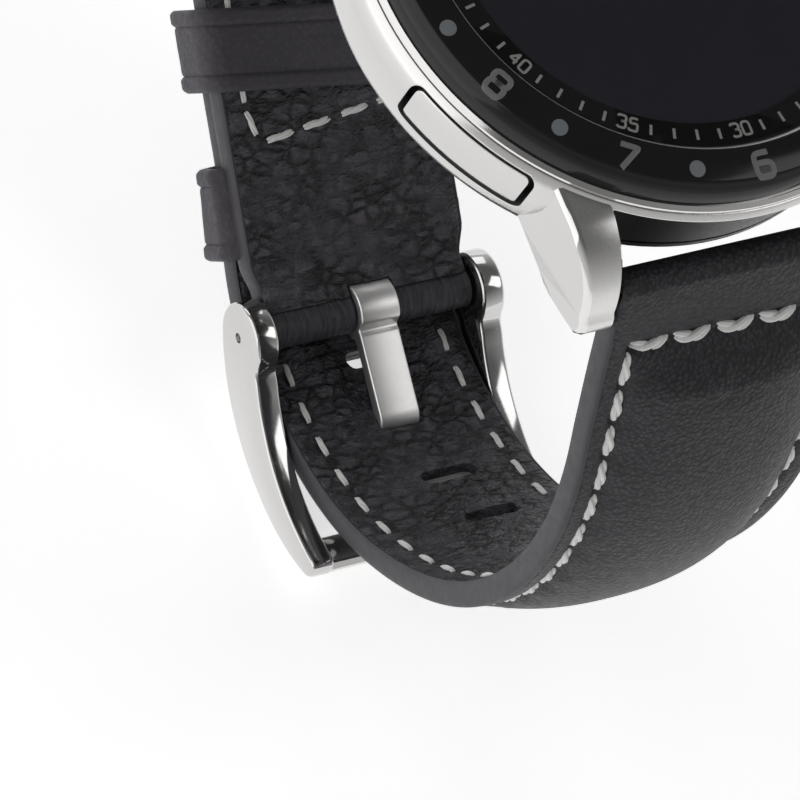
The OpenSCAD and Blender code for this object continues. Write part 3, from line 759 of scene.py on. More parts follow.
def swell(rings, marks, pad_fn, half_samples):
    """Cloth simulation: the leather over the padding swells under pressure. Returns each point's movement."""
    vertices, faces = loft(rings)
    obj = new_object("swell", vertices * SWELL_SCALE, faces)
    n = rings.shape[1]
    group = obj.vertex_groups.new(name="pin")
    across_u = np.abs(np.linspace(-1, 1, half_samples))
    free_across = 1 - ramp(0.62, 0.78, across_u)
    for i, s in enumerate(marks):
        free_along = 0.0
        if s > 0:
            free_along = float(ramp(ROW_S + 0.3, ROW_S + 3, s)) * min(1.0, float(pad_fn(s)) * 1.5)
        for j in range(n):
            free = free_along * free_across[j] if j < half_samples else 0.0
            group.add([i * n + j], 1 - free, "REPLACE")
    cloth = obj.modifiers.new("cloth", "CLOTH")
    cloth.settings.quality = 4
    cloth.settings.mass = 0.3
    cloth.settings.bending_stiffness = 0.6
    cloth.settings.use_pressure = True
    cloth.settings.uniform_pressure_force = 4
    cloth.settings.effector_weights.gravity = 0
    cloth.settings.vertex_group_mass = "pin"
    cloth.point_cache.frame_start = 1
    cloth.point_cache.frame_end = 20
    scene = bpy.context.scene
    for step in range(1, 21):
        scene.frame_set(step)
    graph = bpy.context.evaluated_depsgraph_get()
    moved = obj.evaluated_get(graph).data
    after = np.zeros(len(vertices) * 3)
    moved.vertices.foreach_get("co", after)
    scene.frame_set(1)
    bpy.data.objects.remove(obj)
    shift = after.reshape(-1, 3) / (SWELL_SCALE * MM) - vertices
    length = np.linalg.norm(shift, axis=1)
    print("swell", round(float(length.max()), 3), round(float(length.mean()), 4))
    shift *= (np.minimum(length, SWELL_CAP) / np.maximum(length, 1e-9))[:, None]
    return shift.reshape(rings.shape)


def spread(shift, marks, fine_marks, coarse_count, fine_x, coarse_x):
    """A coarse sheet's movement, carried over to the top side of a finer one."""
    order = np.argsort(marks)
    top = shift[order, :coarse_count]
    fine = np.zeros((len(fine_marks), len(fine_x), 3))
    columns = np.stack([[np.interp(fine_x, coarse_x, row[:, k]) for k in range(3)] for row in top])
    for k in range(3):
        for j in range(len(fine_x)):
            fine[:, j, k] = np.interp(fine_marks, marks[order], columns[:, k, j])
    return fine


def closer_at_tip(stations, end):
    """Places along a strap, with those of the last TIP_REACH set closer and closer toward its end."""
    start = end - TIP_REACH
    tip = start + TIP_REACH * np.sin(np.linspace(0, math.pi / 2, 40))
    return np.concatenate([stations[stations < start], tip])


def strap_upper(name, path, length, half_fn, pad_fn, rows_end, end_wrap):
    fine = np.concatenate([np.linspace(0.05, 7, 30), np.linspace(7.3, length, int(length / 0.36))])
    if not end_wrap:
        fine = closer_at_tip(fine, length)
    rings, marks = sheet_rings(path, fine, half_fn, pad_fn, rows_end, across, end_wrap)
    def coarse_across(half):
        return across(half, 5, 19)
    coarse = np.linspace(0.05, length - (0 if end_wrap else 2), int(length / 1.1))
    rough, rough_marks = sheet_rings(path, coarse, half_fn, pad_fn, rows_end, coarse_across, False)
    shift = swell(rough, rough_marks, pad_fn, 29)
    unit_fine = across(10.0) / 10
    unit_coarse = across(10.0, 5, 19) / 10
    top = len(unit_fine)
    moved = spread(shift, rough_marks, marks, 29, unit_fine, unit_coarse)
    rings[:, :top] += moved * ((marks > 0) & (marks < length))[:, None, None]
    vertices, faces = loft(rings)
    return new_object(name, vertices, faces)


def lining_inner(s, x, half, rows, seed, pulled):
    """Height of the lining's visible face: creased leather with a sewn groove. Between the two places
    of pulled along the strap, folds run across it."""
    edge = half - abs(x)
    place = Vector((x * 0.72, s, seed))
    near = noise.voronoi(place / 1.25)[0]
    crease = max(0.0, 1 - (near[1] - near[0]) / 0.22)
    wave = noise.noise(place / 2.4) * 0.1 + noise.noise(place / 0.9) * 0.05
    folds = noise.noise(Vector((x * 0.22, s * 1.05, seed + 5))) * 0.2
    wave += folds * float(ramp(pulled[0], pulled[0] + 4, s) * (1 - ramp(pulled[1] - 5, pulled[1], s)))
    fade = min(1.0, edge / 1.4)
    groove = 0.12 * math.exp(-((edge - STITCH_IN) / 0.4) ** 2) * rows(s)
    edge_round = 0.22 * max(0.0, 1 - edge / 0.5) ** 2
    return fade * (0.11 * crease + wave) + groove + edge_round


def strap_lining(name, path, s0, s1, half_fn, rows, seed, pulled, tip=False, rise=0.0):
    """The lining from s0 to s1. rise lifts its last stretch up to the leather rolled round the bar."""
    stations = np.linspace(s0, s1, int((s1 - s0) / 0.36))
    if tip:
        stations = closer_at_tip(stations, s1)
    rings = []
    for s in stations:
        point, out, _ = path.axes(s)
        half = float(half_fn(s)) - 0.02
        x = np.linspace(-half, half, 61)
        skive = 0.35 * max(0.0, 1 - (s - s0) / 1.5)
        lift = rise * float(ramp(s1 - 2.4, s1, s)) ** 1.3
        low = np.array([lining_inner(s, v, half, rows, seed, pulled) for v in x]) + skive * 0.5 - lift
        top = point + np.outer(np.full(len(x), LINING_T - lift), out)
        bottom = point + np.outer(low, out)
        top[:, 0] = x
        bottom[:, 0] = x
        rings.append(np.concatenate([bottom, top[::-1]]))
    vertices, faces = loft(rings)
    return new_object(name, vertices, faces)


def strap_foam(name, path, length, half_fn, pad_fn):
    """The padding: a crowned closed form between lining and upper."""
    stations = [s for s in np.linspace(ROW_S + 0.6, length, 90) if pad_fn(s) > 0.12]
    rings = []
    for s in stations:
        point, out, _ = path.axes(s)
        inner = float(half_fn(s)) - HEM - 0.1
        x = np.linspace(-inner, inner, 33)
        high = 0.05 + max(0.05, float(pad_fn(s)) - 0.12) * (1 - np.abs(x / inner) ** 2.4) ** 0.72 * 0.96
        top = point + np.outer(LINING_T + 0.03 + high, out)
        bottom = point + np.outer(np.full(len(x), LINING_T + 0.02), out)
        top[:, 0] = x
        bottom[:, 0] = x
        rings.append(np.concatenate([top, bottom[::-1]]))
    vertices, faces = loft(rings)
    return new_object(name, vertices, faces)


EDGE_SECTION = [(-0.35, 0.12), (-0.08, 0.06), (0.03, 0.2), (0.075, 0.55), (0.09, 1.1), (0.075, 1.65),
                (0.03, 1.98), (-0.08, 2.1), (-0.35, 2.06)]


def outline_of(half_fn, s0, s1, tip):
    """The strap's outline as (s, x) from one side round the tip to the other, or each side apart."""
    s = np.linspace(s0, s1, int((s1 - s0) / 0.45))
    if tip:
        s = np.concatenate([s[s < s1 - 9], s1 - 9 + 9 * np.sin(np.linspace(0, math.pi / 2 - 0.02, 40))])
    x = half_fn(s)
    if tip:
        return [np.column_stack([np.concatenate([s, s[::-1]]), np.concatenate([-x, x[::-1]])])]
    return [np.column_stack([s, -x]), np.column_stack([s[::-1], x[::-1]])]


def outwards(route):
    """Unit vectors to the outside of a route of (s, x) that runs with the strap on its left."""
    step = np.gradient(route, axis=0)
    step /= np.linalg.norm(step, axis=1)[:, None]
    return np.column_stack([step[:, 1], -step[:, 0]])


def painted_edge(name, path, half_fn, s0, s1, tip):
    parts = []
    for route in outline_of(half_fn, s0, s1, tip):
        outside = outwards(route)
        rings = []
        for (s, x), (ns, nx) in zip(route, outside):
            drag = 0.02 * noise.noise(Vector((s / 2.2, x, 7)))
            ring = []
            for o, t in EDGE_SECTION:
                point, out, _ = path.axes(max(0.3, s + o * ns))
                ring.append(point + out * t + np.array([x + (o + drag) * nx, 0, 0]))
            rings.append(ring)
        parts.append(loft(rings))
    return new_object(name, *join(parts))


def hole_cutters(path, places, low=-1.2, high=3.4):
    """Rounded cutters through the strap, for holes at (s, x, length, width)."""
    cutters = []
    for s, x, length, width in places:
        point, out, ahead = path.axes(s)
        corners = []
        r = min(0.75, length / 2 - 0.05)
        w, l = width / 2 - r, length / 2 - r
        for cx, cl, a0 in ((w, l, 0), (-w, l, 90), (-w, -l, 180), (w, -l, 270)):
            corners += [(cx + px, cl + pl) for px, pl in arc((0, 0), r, a0, a0 + 90, 7)]
        rings = [[point + out * t + ahead * pl + np.array([x + px, 0, 0]) for px, pl in corners]
                 for t in (low, high)]
        cutters.append(new_object("hole", *loft(rings)))
    return cutters


# ---- Stitches ------------------------------------------------------------------------------------

PLY_R = 0.24
PLY_OFFSET = 0.16
PLIES = 3
PLY_TWIST = 4.6             # length of one turn of the thread


def stitch(start, end, out, bow, size):
    """Plies of thread twisted together, sunk into the leather at both ends. size scales their thickness."""
    along = end - start
    length = np.linalg.norm(along)
    side = np.cross(along / length, out)
    f = np.linspace(0, 1, 14)
    arch = np.sin(math.pi * np.clip(f, 1e-4, 1 - 1e-4)) ** 0.42
    rise = (0.34 * arch - 0.26) * size
    centre = start + np.outer(f, along) + np.outer(rise, out) + np.outer(bow * np.sin(math.pi * f), side)
    parts = []
    for ply in range(PLIES):
        phase = 2 * math.pi * (f * length / PLY_TWIST + ply / PLIES)
        offset = np.outer(1.25 * np.cos(phase), side) + np.outer(0.7 * np.sin(phase), out)
        points = centre + PLY_OFFSET * size * offset
        parts.append(tube(points, PLY_R * size * (0.5 + 0.5 * arch), 8))
    return parts


def sew(path, route, height, inwards, length, bow=0.0, slant=0.0, size=1.0, pitch=STITCH_PITCH):
    """Stitches along a route of (s, x). height gives the surface there, inwards is True on the lining."""
    route = np.asarray(route, float)
    travel = np.concatenate([[0], np.cumsum(np.linalg.norm(np.diff(route, axis=0), axis=1))])
    count = max(1, round(travel[-1] / pitch))
    pitch = travel[-1] / count
    parts = []
    for k in range(count):
        middle = (k + 0.5) * pitch
        jitter = 0.08 * noise.noise(Vector((k * 1.7, travel[-1], 2)))
        ends = []
        for side in (-1, 1):
            at = middle + side * length / 2 + jitter
            s = np.interp(at, travel, route[:, 0])
            x = np.interp(at, travel, route[:, 1])
            step = (np.interp(at + 0.1, travel, route[:, 0]) - np.interp(at - 0.1, travel, route[:, 0]),
                    np.interp(at + 0.1, travel, route[:, 1]) - np.interp(at - 0.1, travel, route[:, 1]))
            reach = max(math.hypot(*step), 1e-6)
            s -= side * slant * step[1] / reach
            x += side * slant * step[0] / reach
            ends.append(path.at(s, x, height(s, x)))
        s = np.interp(middle, travel, route[:, 0])
        out = path.axes(s)[1] * (-1 if inwards else 1)
        parts += stitch(ends[0], ends[1], out, bow, size)
    return parts


def inset_outline(half_fn, s0, s1, tip):
    return [route - STITCH_IN * outwards(route) for route in outline_of(half_fn, s0, s1, tip)]


def cross_row(half_fn, s):
    reach = float(half_fn(s)) - STITCH_IN + 0.1
    return [(s, -reach), (s, reach)]


def lining_height(s, x):
    """Height of the lining's stitches, the same at every s and x."""
    return LINING_SINK


def long_strap():
    def rows(s):
        return float(ramp(ROW_S - 0.5, ROW_S, s))

    def top_height(s, x):
        return float(upper_top(s, np.array(x), float(long_half(s)), float(long_pad(s)), LONG_LEN)) + 0.02

    holes = [(TONGUE_S + i * HOLE_PITCH + HOLE_SHIFT, HOLE_X + HOLE_DRIFT * max(i, -2), HOLE_L, HOLE_W)
             for i in (-2, -1, 1, 2, 3, 4)]
    holes.append((TONGUE_S, TONGUE_X, TONGUE_HOLE_L, TONGUE_HOLE_W))
    upper = strap_upper("long_strap_leather", LONG, LONG_LEN, long_half, long_pad, LONG_LEN, False)
    carve(upper, hole_cutters(LONG, holes))
    finish_piece(upper, WATCH, MAT["top"], ["long_strap_upper"], 60)
    lining = strap_lining("long_strap_lining_leather", LONG, 2.6, LONG_LEN, long_half, rows, 3.0, (63, 88),
                          tip=True)
    carve(lining, hole_cutters(LONG, holes))
    finish_piece(lining, WATCH, MAT["lining"], ["long_strap_lining"], 60)
    foam = strap_foam("long_strap_foam", LONG, LONG_LEN, long_half, long_pad)
    finish_piece(foam, WATCH, MAT["foam"], ["long_strap_padding"], 60)
    edge = painted_edge("long_strap_painted_edge", LONG, long_half, 0.7, LONG_LEN, True)
    finish_piece(edge, WATCH, MAT["edge"], (), 60)
    outline = inset_outline(long_half, ROW_S + 0.5, LONG_LEN, True)[0]
    top = sew(LONG, outline, top_height, False, 2.85, slant=0.1, size=1.2)
    top += sew(LONG, cross_row(long_half, ROW_S), top_height, False, 3.05, bow=0.5, size=1.3)
    under = sew(LONG, outline + [0, LINING_SHIFT], lining_height, True, 1.9, size=0.6)
    finish_piece(new_object("long_strap_stitches_top", *join(top)), WATCH, MAT["thread"])
    under_obj = new_object("long_strap_stitches_lining", *join(under))
    finish_piece(under_obj, WATCH, MAT["thread"])


def short_strap():
    def rows(s):
        return float(ramp(ROW_S - 0.5, ROW_S, s)) * float(1 - ramp(SHORT_ROW_S, SHORT_ROW_S + 0.6, s))

    def top_height(s, x):
        top = upper_top(s, np.array(x), float(short_half(s)), float(short_pad(s)), SHORT_ROW_S)
        return float(top) + 0.02

    upper = strap_upper("short_strap_leather", SHORT, SHORT_LEN, short_half, short_pad, SHORT_ROW_S, True)
    middle = (PIN[0] + 0.3 * math.cos(math.radians(SLOPE)), PIN[1] + 0.3 * math.sin(math.radians(SLOPE)))
    eye = loft([[(x + TONGUE_X, *p) for p in arc(middle, EYE_R + 0.12, 0, 352.5, 48)]
                for x in (-EYE_HALF, EYE_HALF)])
    carve(upper, [new_object("eye", *eye)])
    finish_piece(upper, WATCH, MAT["top"], ["short_strap_upper"], 60)
    upper.data.materials.append(MAT["roll"])
    for face in upper.data.polygons:
        y, z = (face.center / MM)[1:]
        face.material_index = int(math.hypot(y - PIN[0], z - PIN[1]) < PIN_WRAP[1] + 0.3)
    lining = strap_lining("short_strap_lining_leather", SHORT, 2.6, SHORT_LEN - 1.6, short_half, rows, 11.0,
                          (SHORT_LEN - 9, SHORT_LEN + 9), rise=0.58)
    carve(lining, [new_object("eye", *eye)])
    finish_piece(lining, WATCH, MAT["lining"], ["short_strap_lining"], 60)
    foam = strap_foam("short_strap_foam", SHORT, SHORT_LEN, short_half, short_pad)
    finish_piece(foam, WATCH, MAT["foam"], ["short_strap_padding"], 60)
    edge = painted_edge("short_strap_painted_edge", SHORT, short_half, 0.7, SHORT_LEN - 2.6, False)
    finish_piece(edge, WATCH, MAT["edge"], (), 60)
    reach = float(short_half(SHORT_ROW_S)) - STITCH_IN
    corner = SHORT_ROW_S - 2.4
    side = [(s, -(float(short_half(s)) - STITCH_IN)) for s in np.linspace(ROW_S + 0.5, corner, 60)]
    other = [(s, -x) for s, x in side[::-1]]
    row = [(SHORT_ROW_S + 0.3, 0.9 - reach), (SHORT_ROW_S - 1.4, reach - 0.9)]
    corners = [[side[-1], (SHORT_ROW_S - 0.2, 0.6 - reach)], [(SHORT_ROW_S - 1.6, reach - 0.6), other[0]]]
    top = sew(SHORT, side + row + other, top_height, False, 2.85, slant=0.1, size=1.2)
    top += sew(SHORT, cross_row(short_half, ROW_S), top_height, False, 3.05, bow=-0.5, size=1.3)
    under = sew(SHORT, row, lining_height, True, 2.6, size=0.72, pitch=3.8)
    for run in [side, other] + corners:
        under += sew(SHORT, run, lining_height, True, 2.1, size=0.6)
    finish_piece(new_object("short_strap_stitches_top", *join(top)), WATCH, MAT["thread"])
    under_obj = new_object("short_strap_stitches_lining", *join(under))
    finish_piece(under_obj, WATCH, MAT["thread"])


# ---- Keepers -------------------------------------------------------------------------------------


def on_slope(x, v, w):
    """A point v up the slope from the buckle's bar and w inwards from the short strap's lining."""
    point, out, ahead = SHORT.axes(SHORT_LEN)
    return point - ahead * v - out * w + np.array([x, 0, 0])


def tail_outside(gap):
    """The long strap's outer face near the buckle, as distances up the slope and heights inwards."""
    point, out, ahead = SHORT.axes(SHORT_LEN)
    rows = []
    for s in np.arange(76, LONG_LEN, 1.0):
        p = LONG.at(s, 0, EDGE_T + gap) - point
        rows.append((-(p @ ahead), -(p @ out)))
    rows.sort()
    return np.array(rows)


def keeper(name, start, length, top, half, gap, top_t, replaces, body, slit, skew=0.0):
    """A leather band round both straps, its ends folded over into raised rims."""
    outside = tail_outside(gap)
    rim = 1.3
    steps = np.concatenate([np.linspace(0, rim + 0.5, 13), np.linspace(rim + 0.8, length - rim - 0.8, 12),
                            np.linspace(length - rim - 0.5, length, 13)])
    outer = []
    for v in steps:
        from_end = min(v, length - v)
        lift = KEEPER_T + 0.16 * (1 - float(ramp(rim - 0.25, rim, from_end)))
        lift -= 0.38 * max(0.0, 1 - from_end / 0.42) ** 2
        lift -= 0.13 * math.exp(-((from_end - rim - 0.08) / 0.11) ** 2)
        outer.append((v, lift))
    profile = outer + [(v, 0.0) for v in (length, length * 0.75, length / 2, length * 0.25, 0.0)]
    turn = np.linspace(0, 2 * math.pi, 321)[:-1]
    rings = []
    for v, lift in profile:
        low = float(np.interp(start + v, outside[:, 0], outside[:, 1]))
        ring = []
        middle, reach = (top + low) / 2, (top - low) / 2
        for a in turn:
            c, s = math.cos(a), math.sin(a)
            inner = np.array([half * math.copysign(abs(c) ** 0.22, c),
                              reach * math.copysign(abs(s) ** 0.3, s)])
            out = np.array([math.copysign(abs(c) ** 1.5, c), math.copysign(abs(s) ** 1.5, s)])
            out /= np.linalg.norm(out)
            share = lift
            if s > 0:
                thinner = (1 - top_t / KEEPER_T) * (top_t < KEEPER_T)
                share *= 1 - thinner * float(ramp(0.55, 0.9, abs(s) ** 0.3))
            x, w = inner + out * share
            w += middle
            if slit and lift > 0.3 and s > 0.3:
                w -= 0.16 * float(ramp(0.75, 0.95, x))
                hole = ((x + 1.2) / 1.5) ** 2 + ((v - length * 0.62) / 0.3) ** 2
                w -= 0.5 * math.exp(-hole * 1.4)
            rough = noise.noise(Vector((x, v * 1.3, w)) / 1.6) * 0.035
            ring.append(on_slope(x + out[0] * rough, start + v - skew * x, w + out[1] * rough))
        rings.append(ring)
    obj = new_object(name, *loft(rings, closed=True))
    return finish_piece(obj, body, MAT["keeper"], replaces, 60)


def keepers():
    half = SHORT_W / 2 + KEEPER_GAP
    keeper("fixed_keeper_leather", 6.1, 7.3, -LINING_T - 0.6, half, 0.15, 0.6, ["fixed_keeper"], WATCH, False)
    keeper("free_keeper_leather", 18.15, 6.6, KEEPER_GAP, half, KEEPER_GAP, KEEPER_T, ["free_keeper"],
           "keeper", True, 0.13)


# ---- Buckle --------------------------------------------------------------------------------------


def arm_outline():
    """Side of an arm with its ear: round the ear, along the outside to the tip and back along the inside."""
    outside = arc3((1.2, -52.9), (-2.2, -55.7), (-11.2, -58.1), 14)
    outside += arc3((-11.2, -58.1), (-15.3, -57.6), (-19.2, -56.0), 12)[1:]
    inside = arc3((-19.6, -53.6), (-12.9, -54.35), (-5.4, -51.4), 24)
    notch = [(-4.95, -51.15), (-4.5, -50.9), (-4.25, -50.6)]
    tip = [(-19.9, -55.55), (-20.2, -55.0), (-20.2, -54.3), (-20.0, -53.85)]
    ear = arc(PIN, EAR_R, 170, -38.4, 42)
    return outside + tip + inside + notch + ear[1:-1]


def arm(side):
    x0, x1 = sorted((side * ARM_X, side * (ARM_X + ARM_T)))
    obj = new_object("arm", *prism(arm_outline(), x0, x1))
    return bevel(obj, 0.3, 3, 40)


def rest_bar():
    """The far end of the buckle, with a shallow seat for the tongue."""
    section = arc3((-17.3, -56.55), (-18.4, -56.45), (-19.4, -55.85), 7)
    section += [(-20.1, -55.2), (-20.15, -54.55), (-19.8, -54.12)]
    section += arc3((-19.6, -54.1), (-18.7, -54.62), (-17.7, -54.85), 6) + [(-17.15, -55.3)]
    rings = []
    for x in np.linspace(-ARM_X - 0.5, ARM_X + 0.5, 60):
        seat = 0.1 * (1 - float(ramp(2.2, 2.8, abs(x))))
        ring = []
        for y, z in section:
            ring.append((x, y, z - seat * (z > -54.95)))
        rings.append(ring)
    return new_object("bar", *loft(rings))


def buckle():
    frame_obj = arm(-1)
    carve(frame_obj, [arm(1), rest_bar()], "UNION")
    blind = []
    for side in (-1, 1):
        ends = (side * (ARM_X + ARM_T - 0.5), side * (ARM_X + ARM_T + 0.5))
        blind.append(loft([[(x, *p) for p in arc((-0.95, -51.1), 0.42, 0, 345, 24)] for x in ends]))
    bore = loft([[(x, *p) for p in arc(PIN, 0.77, 0, 345, 24)] for x in (-ARM_X - 1.5, ARM_X + 1.5)])
    carve(frame_obj, [new_object("blind", *part) for part in blind] + [new_object("bore", *bore)])
    frame_obj.name = "buckle_frame_cast"
    finish_piece(frame_obj, "buckle", MAT["buckle"], ["buckle_frame"], 32)


TONGUE_ROUTE = [(8.1, 0), (1.2, 54), (1.3, 0), (2, -86.8), (7.9, 0)]
TONGUE_LEN = 20.5
TONGUE_T = 1.2


def eye_outline():
    """Top of the eye, from under the short strap over the barrel to the hollow before the strip."""
    slope = math.radians(SLOPE)
    barrel = [(EYE_R * math.sin(a) + 0.3, EYE_R * math.cos(a)) for a in np.radians(np.linspace(112, -22, 24))]
    hollow = [(-0.78, 1.95), (-1.02, 1.62), (-1.22, 1.42), (-1.42, 1.4), (-1.56, 1.52)]
    c, s = math.cos(slope), math.sin(slope)
    return [(PIN[0] + v * c - w * s, PIN[1] + v * s + w * c) for v, w in barrel + hollow]


def tongue():
    """Eye round the bar, a hollow behind it, then a flat strip that bends down through the strap."""
    route = Path((PIN[0] - 0.29, PIN[1] + 0.59, -72.8), TONGUE_ROUTE)
    upper, lower = [], []
    for s in np.linspace(1.9, TONGUE_LEN, 100):
        y, z, h = route.place(s)
        thin = TONGUE_T / 2 - 0.28 * float(ramp(TONGUE_LEN - 3, TONGUE_LEN, s))
        upper.append((y - thin * math.cos(h), z - thin * math.sin(h)))
        lower.append((y + TONGUE_T / 2 * math.cos(h), z + TONGUE_T / 2 * math.sin(h)))
    back = [(PIN[0] - 1.6, PIN[1] - 1.0), (PIN[0] - 0.9, PIN[1] - 1.35), (PIN[0] + 0.6, PIN[1] - 1.5),
            (PIN[0] + 1.9, PIN[1] - 1.3)]
    outline = eye_outline() + upper + [p for p in lower if p[0] < PIN[0] - 1.9][::-1] + back
    obj = new_object("tongue", *prism(outline, TONGUE_X - TONGUE_HALF, TONGUE_X + TONGUE_HALF))
    bevel(obj, 0.18, 3, 40)
    bore = loft([[(x, *p) for p in arc(PIN, 0.8, 0, 345, 24)] for x in (-3, 3)])
    carve(obj, [new_object("bore", *bore)])
    obj.name = "buckle_tongue_cast"
    finish_piece(obj, "tongue", MAT["tongue"], ["buckle_tongue"], 32)


# ---- Case ----------------------------------------------------------------------------------------

CASE_HIGH = box_mm("mid_case")[1]
CASE_R = CASE_HIGH[0]
CASE_Z1 = CASE_HIGH[2]
CORE_R = 20.9
CASE_Z0 = 2.15
BEZEL_R = box_mm("bezel_insert")[1][0]
LUG_HALF = 11.0
PUSHER_Z = 6.5
GAP_Z = 8.9
PUSHER_W = 10.0
PUSHER_H = 4.1
PUSHER_TURN = 2.7           # how far a pusher sits from its hour, away from 3 or 9 o'clock
PUSHER_BACK = 21.4
STEM_Z = 5.6
SIDE_Z = 7.4                # height at which the case is widest
WINDOW_GAP = 0.5
BAR_Y = 23.9
BAR_Z = 4.5


# Materials of the steel case, and the places of three of them in the list; the last is a dark matt coat for
# the pusher windows' walls, painted shade for the gap round each cap
CASE_COATS = ["steel", "satin", "polished", "window_gap_shade"]
LUG_FACE, LUG_CHAMFER, WINDOW_WALL = 1, 2, 3


def case_profile(shrink=0.0):
    """Half section of the steel case, its outside slightly domed."""
    side = arc3((CASE_R - 1.15, CASE_Z0 + 0.4), (CASE_R - 0.42, 5.2), (CASE_R, SIDE_Z), 9)
    side += arc3((CASE_R, SIDE_Z), (CASE_R - 0.22, 8.5), (CASE_R - 0.65, CASE_Z1 - 0.16), 7)[1:]
    points = [(CORE_R, CASE_Z0), (CASE_R - 1.5, CASE_Z0)] + side + [(CASE_R - 0.74, CASE_Z1 - 0.03)]
    points += [(CASE_R - 0.9, CASE_Z1), (CORE_R, CASE_Z1)]
    return [(r - shrink if r > CORE_R else r, z) for r, z in points]


def rounded_box(x, y0, y1, z0, z1, radius):
    """Box from -x to x with rounded corners as seen along Y."""
    corners = []
    cz, hz = (z0 + z1) / 2, (z1 - z0) / 2
    for sx, sz, a0 in ((1, 1, 0), (-1, 1, 90), (-1, -1, 180), (1, -1, 270)):
        centre = (sx * (x - radius), cz + sz * (hz - radius))
        corners += arc(centre, radius, a0, a0 + 90, 7)
    return loft([[(px, y, pz) for px, pz in corners] for y in (y0, y1)])


def pusher_angle(hour):
    """Clock angle of a pusher, in degrees."""
    return 30 * hour + (PUSHER_TURN if hour in (4, 10) else -PUSHER_TURN)


def inset(outline, distance):
    """A closed outline moved inwards by a distance."""
    outline = np.asarray(outline, float)
    step = np.roll(outline, -1, axis=0) - np.roll(outline, 1, axis=0)
    step /= np.linalg.norm(step, axis=1)[:, None]
    normal = np.column_stack([-step[:, 1], step[:, 0]])
    area = np.sum(outline[:, 0] * np.roll(outline[:, 1], -1) - np.roll(outline[:, 0], -1) * outline[:, 1])
    return outline + normal * distance * (1 if area > 0 else -1)


def lug_solid():
    """One lug at 6 o'clock on the +X side: a side outline lofted across, with chamfered long edges."""
    side = arc3((-20.2, 9.15), (-23.9, 6.75), (-25.3, 4.0), 16)
    side += arc3((-25.3, 4.0), (-25.85, 2.6), (-25.4, 1.75), 6)[1:]
    side += [(-24.5, 1.66), (-23.6, 1.6), (-22.6, 1.6), (-22.1, 1.62), (-21.2, 1.85), (-20.3, 2.15)]
    side += [(-17, 2.3), (-14, 2.4), (-14, 5), (-14, 9), (-17, 9.1)]
    outer = [np.interp(y, (-25.5, -23.3, -21.4, -20), (13.75, 14.1, 14.45, 14.6)) for y, _ in side]
    rings = []
    for cut, back, from_outside in ((0.16, 0, False), (0, 0.16, False), (0, 0.5, True), (0.16, 0.2, True),
                                    (0.42, 0, True)):
        ring = []
        for (y, z), edge in zip(inset(side, cut), outer):
            ring.append((edge - back if from_outside else LUG_HALF + back, y, z))
        rings.append(ring)
    lug = new_object("lug", *loft(rings))
    coat(lug, LUG_FACE)
    count = len(side)
    for index, face in enumerate(lug.data.polygons):
        band = index // count
        face.material_index = (LUG_CHAMFER, LUG_FACE, LUG_CHAMFER, LUG_CHAMFER, 0)[min(band, 4)]
    return lug


def coat(obj, index):
    """Gives an object the case's materials and all its faces the one with this index."""
    for key in CASE_COATS:
        obj.data.materials.append(MAT[key])
    obj.data.polygons.foreach_set("material_index", [index] * len(obj.data.polygons))


def copies_of(obj, mirrors):
    """Mirrored copies of an object. Each mirror is a pair of signs for X and Y."""
    made = []
    for sx, sy in mirrors:
        copy = obj.copy()
        copy.data = obj.data.copy()
        copy.data.transform(Matrix.Diagonal((sx, sy, 1, 1)))
        if sx * sy < 0:
            copy.data.flip_normals()
        bpy.context.scene.collection.objects.link(copy)
        made.append(copy)
    return made


def steel_case():
    body = new_object("case_steel_body", *revolve(case_profile(), 360))
    coat(body, 0)
    for side in (0, 180):
        low = rounded_box(LUG_HALF, 14.2, 26, -3, GAP_Z, 0.2)
        carve(body, [new_object("gap", turned(low[0], side), low[1])])
    windows = []
    for hour in (2, 4, 8, 10):
        part = rounded_box(PUSHER_W / 2 + WINDOW_GAP, 18, 26, PUSHER_Z - PUSHER_H / 2 - WINDOW_GAP * 0.7,
                           PUSHER_Z + PUSHER_H / 2 + WINDOW_GAP * 0.6, 0.9)
        windows.append(new_object("window", turned(part[0], pusher_angle(hour)), part[1]))
        # The window walls get the dark matt coat: painted shade in the gap round the pusher, where the real
        # walls are steel.
        coat(windows[-1], WINDOW_WALL)
    lug = lug_solid()
    lugs = [lug] + copies_of(lug, ((-1, 1), (1, -1), (-1, -1)))
    core = new_object("core", *loft([[(CORE_R * math.cos(a), CORE_R * math.sin(a), z) for a in
                                      np.arange(240) * math.pi / 120] for z in (0, 12)]))
    keep = []
    for one in lugs:
        disc = core.copy()
        disc.data = core.data.copy()
        bpy.context.scene.collection.objects.link(disc)
        keep.append(carve(one, [disc], "DIFFERENCE", "EXACT"))
    bpy.data.objects.remove(core)
    carve(body, windows, "DIFFERENCE", "EXACT")
    bevel(body, 0.12, 2, 40, material=0)
    carve(body, keep, "UNION", "EXACT")
    pins = []
    for side in (-1, 1):
        turn = np.arange(24) * math.pi / 12
        ring = [(side * BAR_Y + 0.56 * math.cos(a), BAR_Z + 0.56 * math.sin(a)) for a in turn]
        pins.append(loft([[(x, *p) for p in ring] for x in (-LUG_HALF - 1.15, LUG_HALF + 1.15)]))
    carve(body, [new_object("pins", *part) for part in pins], "DIFFERENCE", "EXACT")
    finish_piece(body, WATCH, None, ["mid_case"], 32)


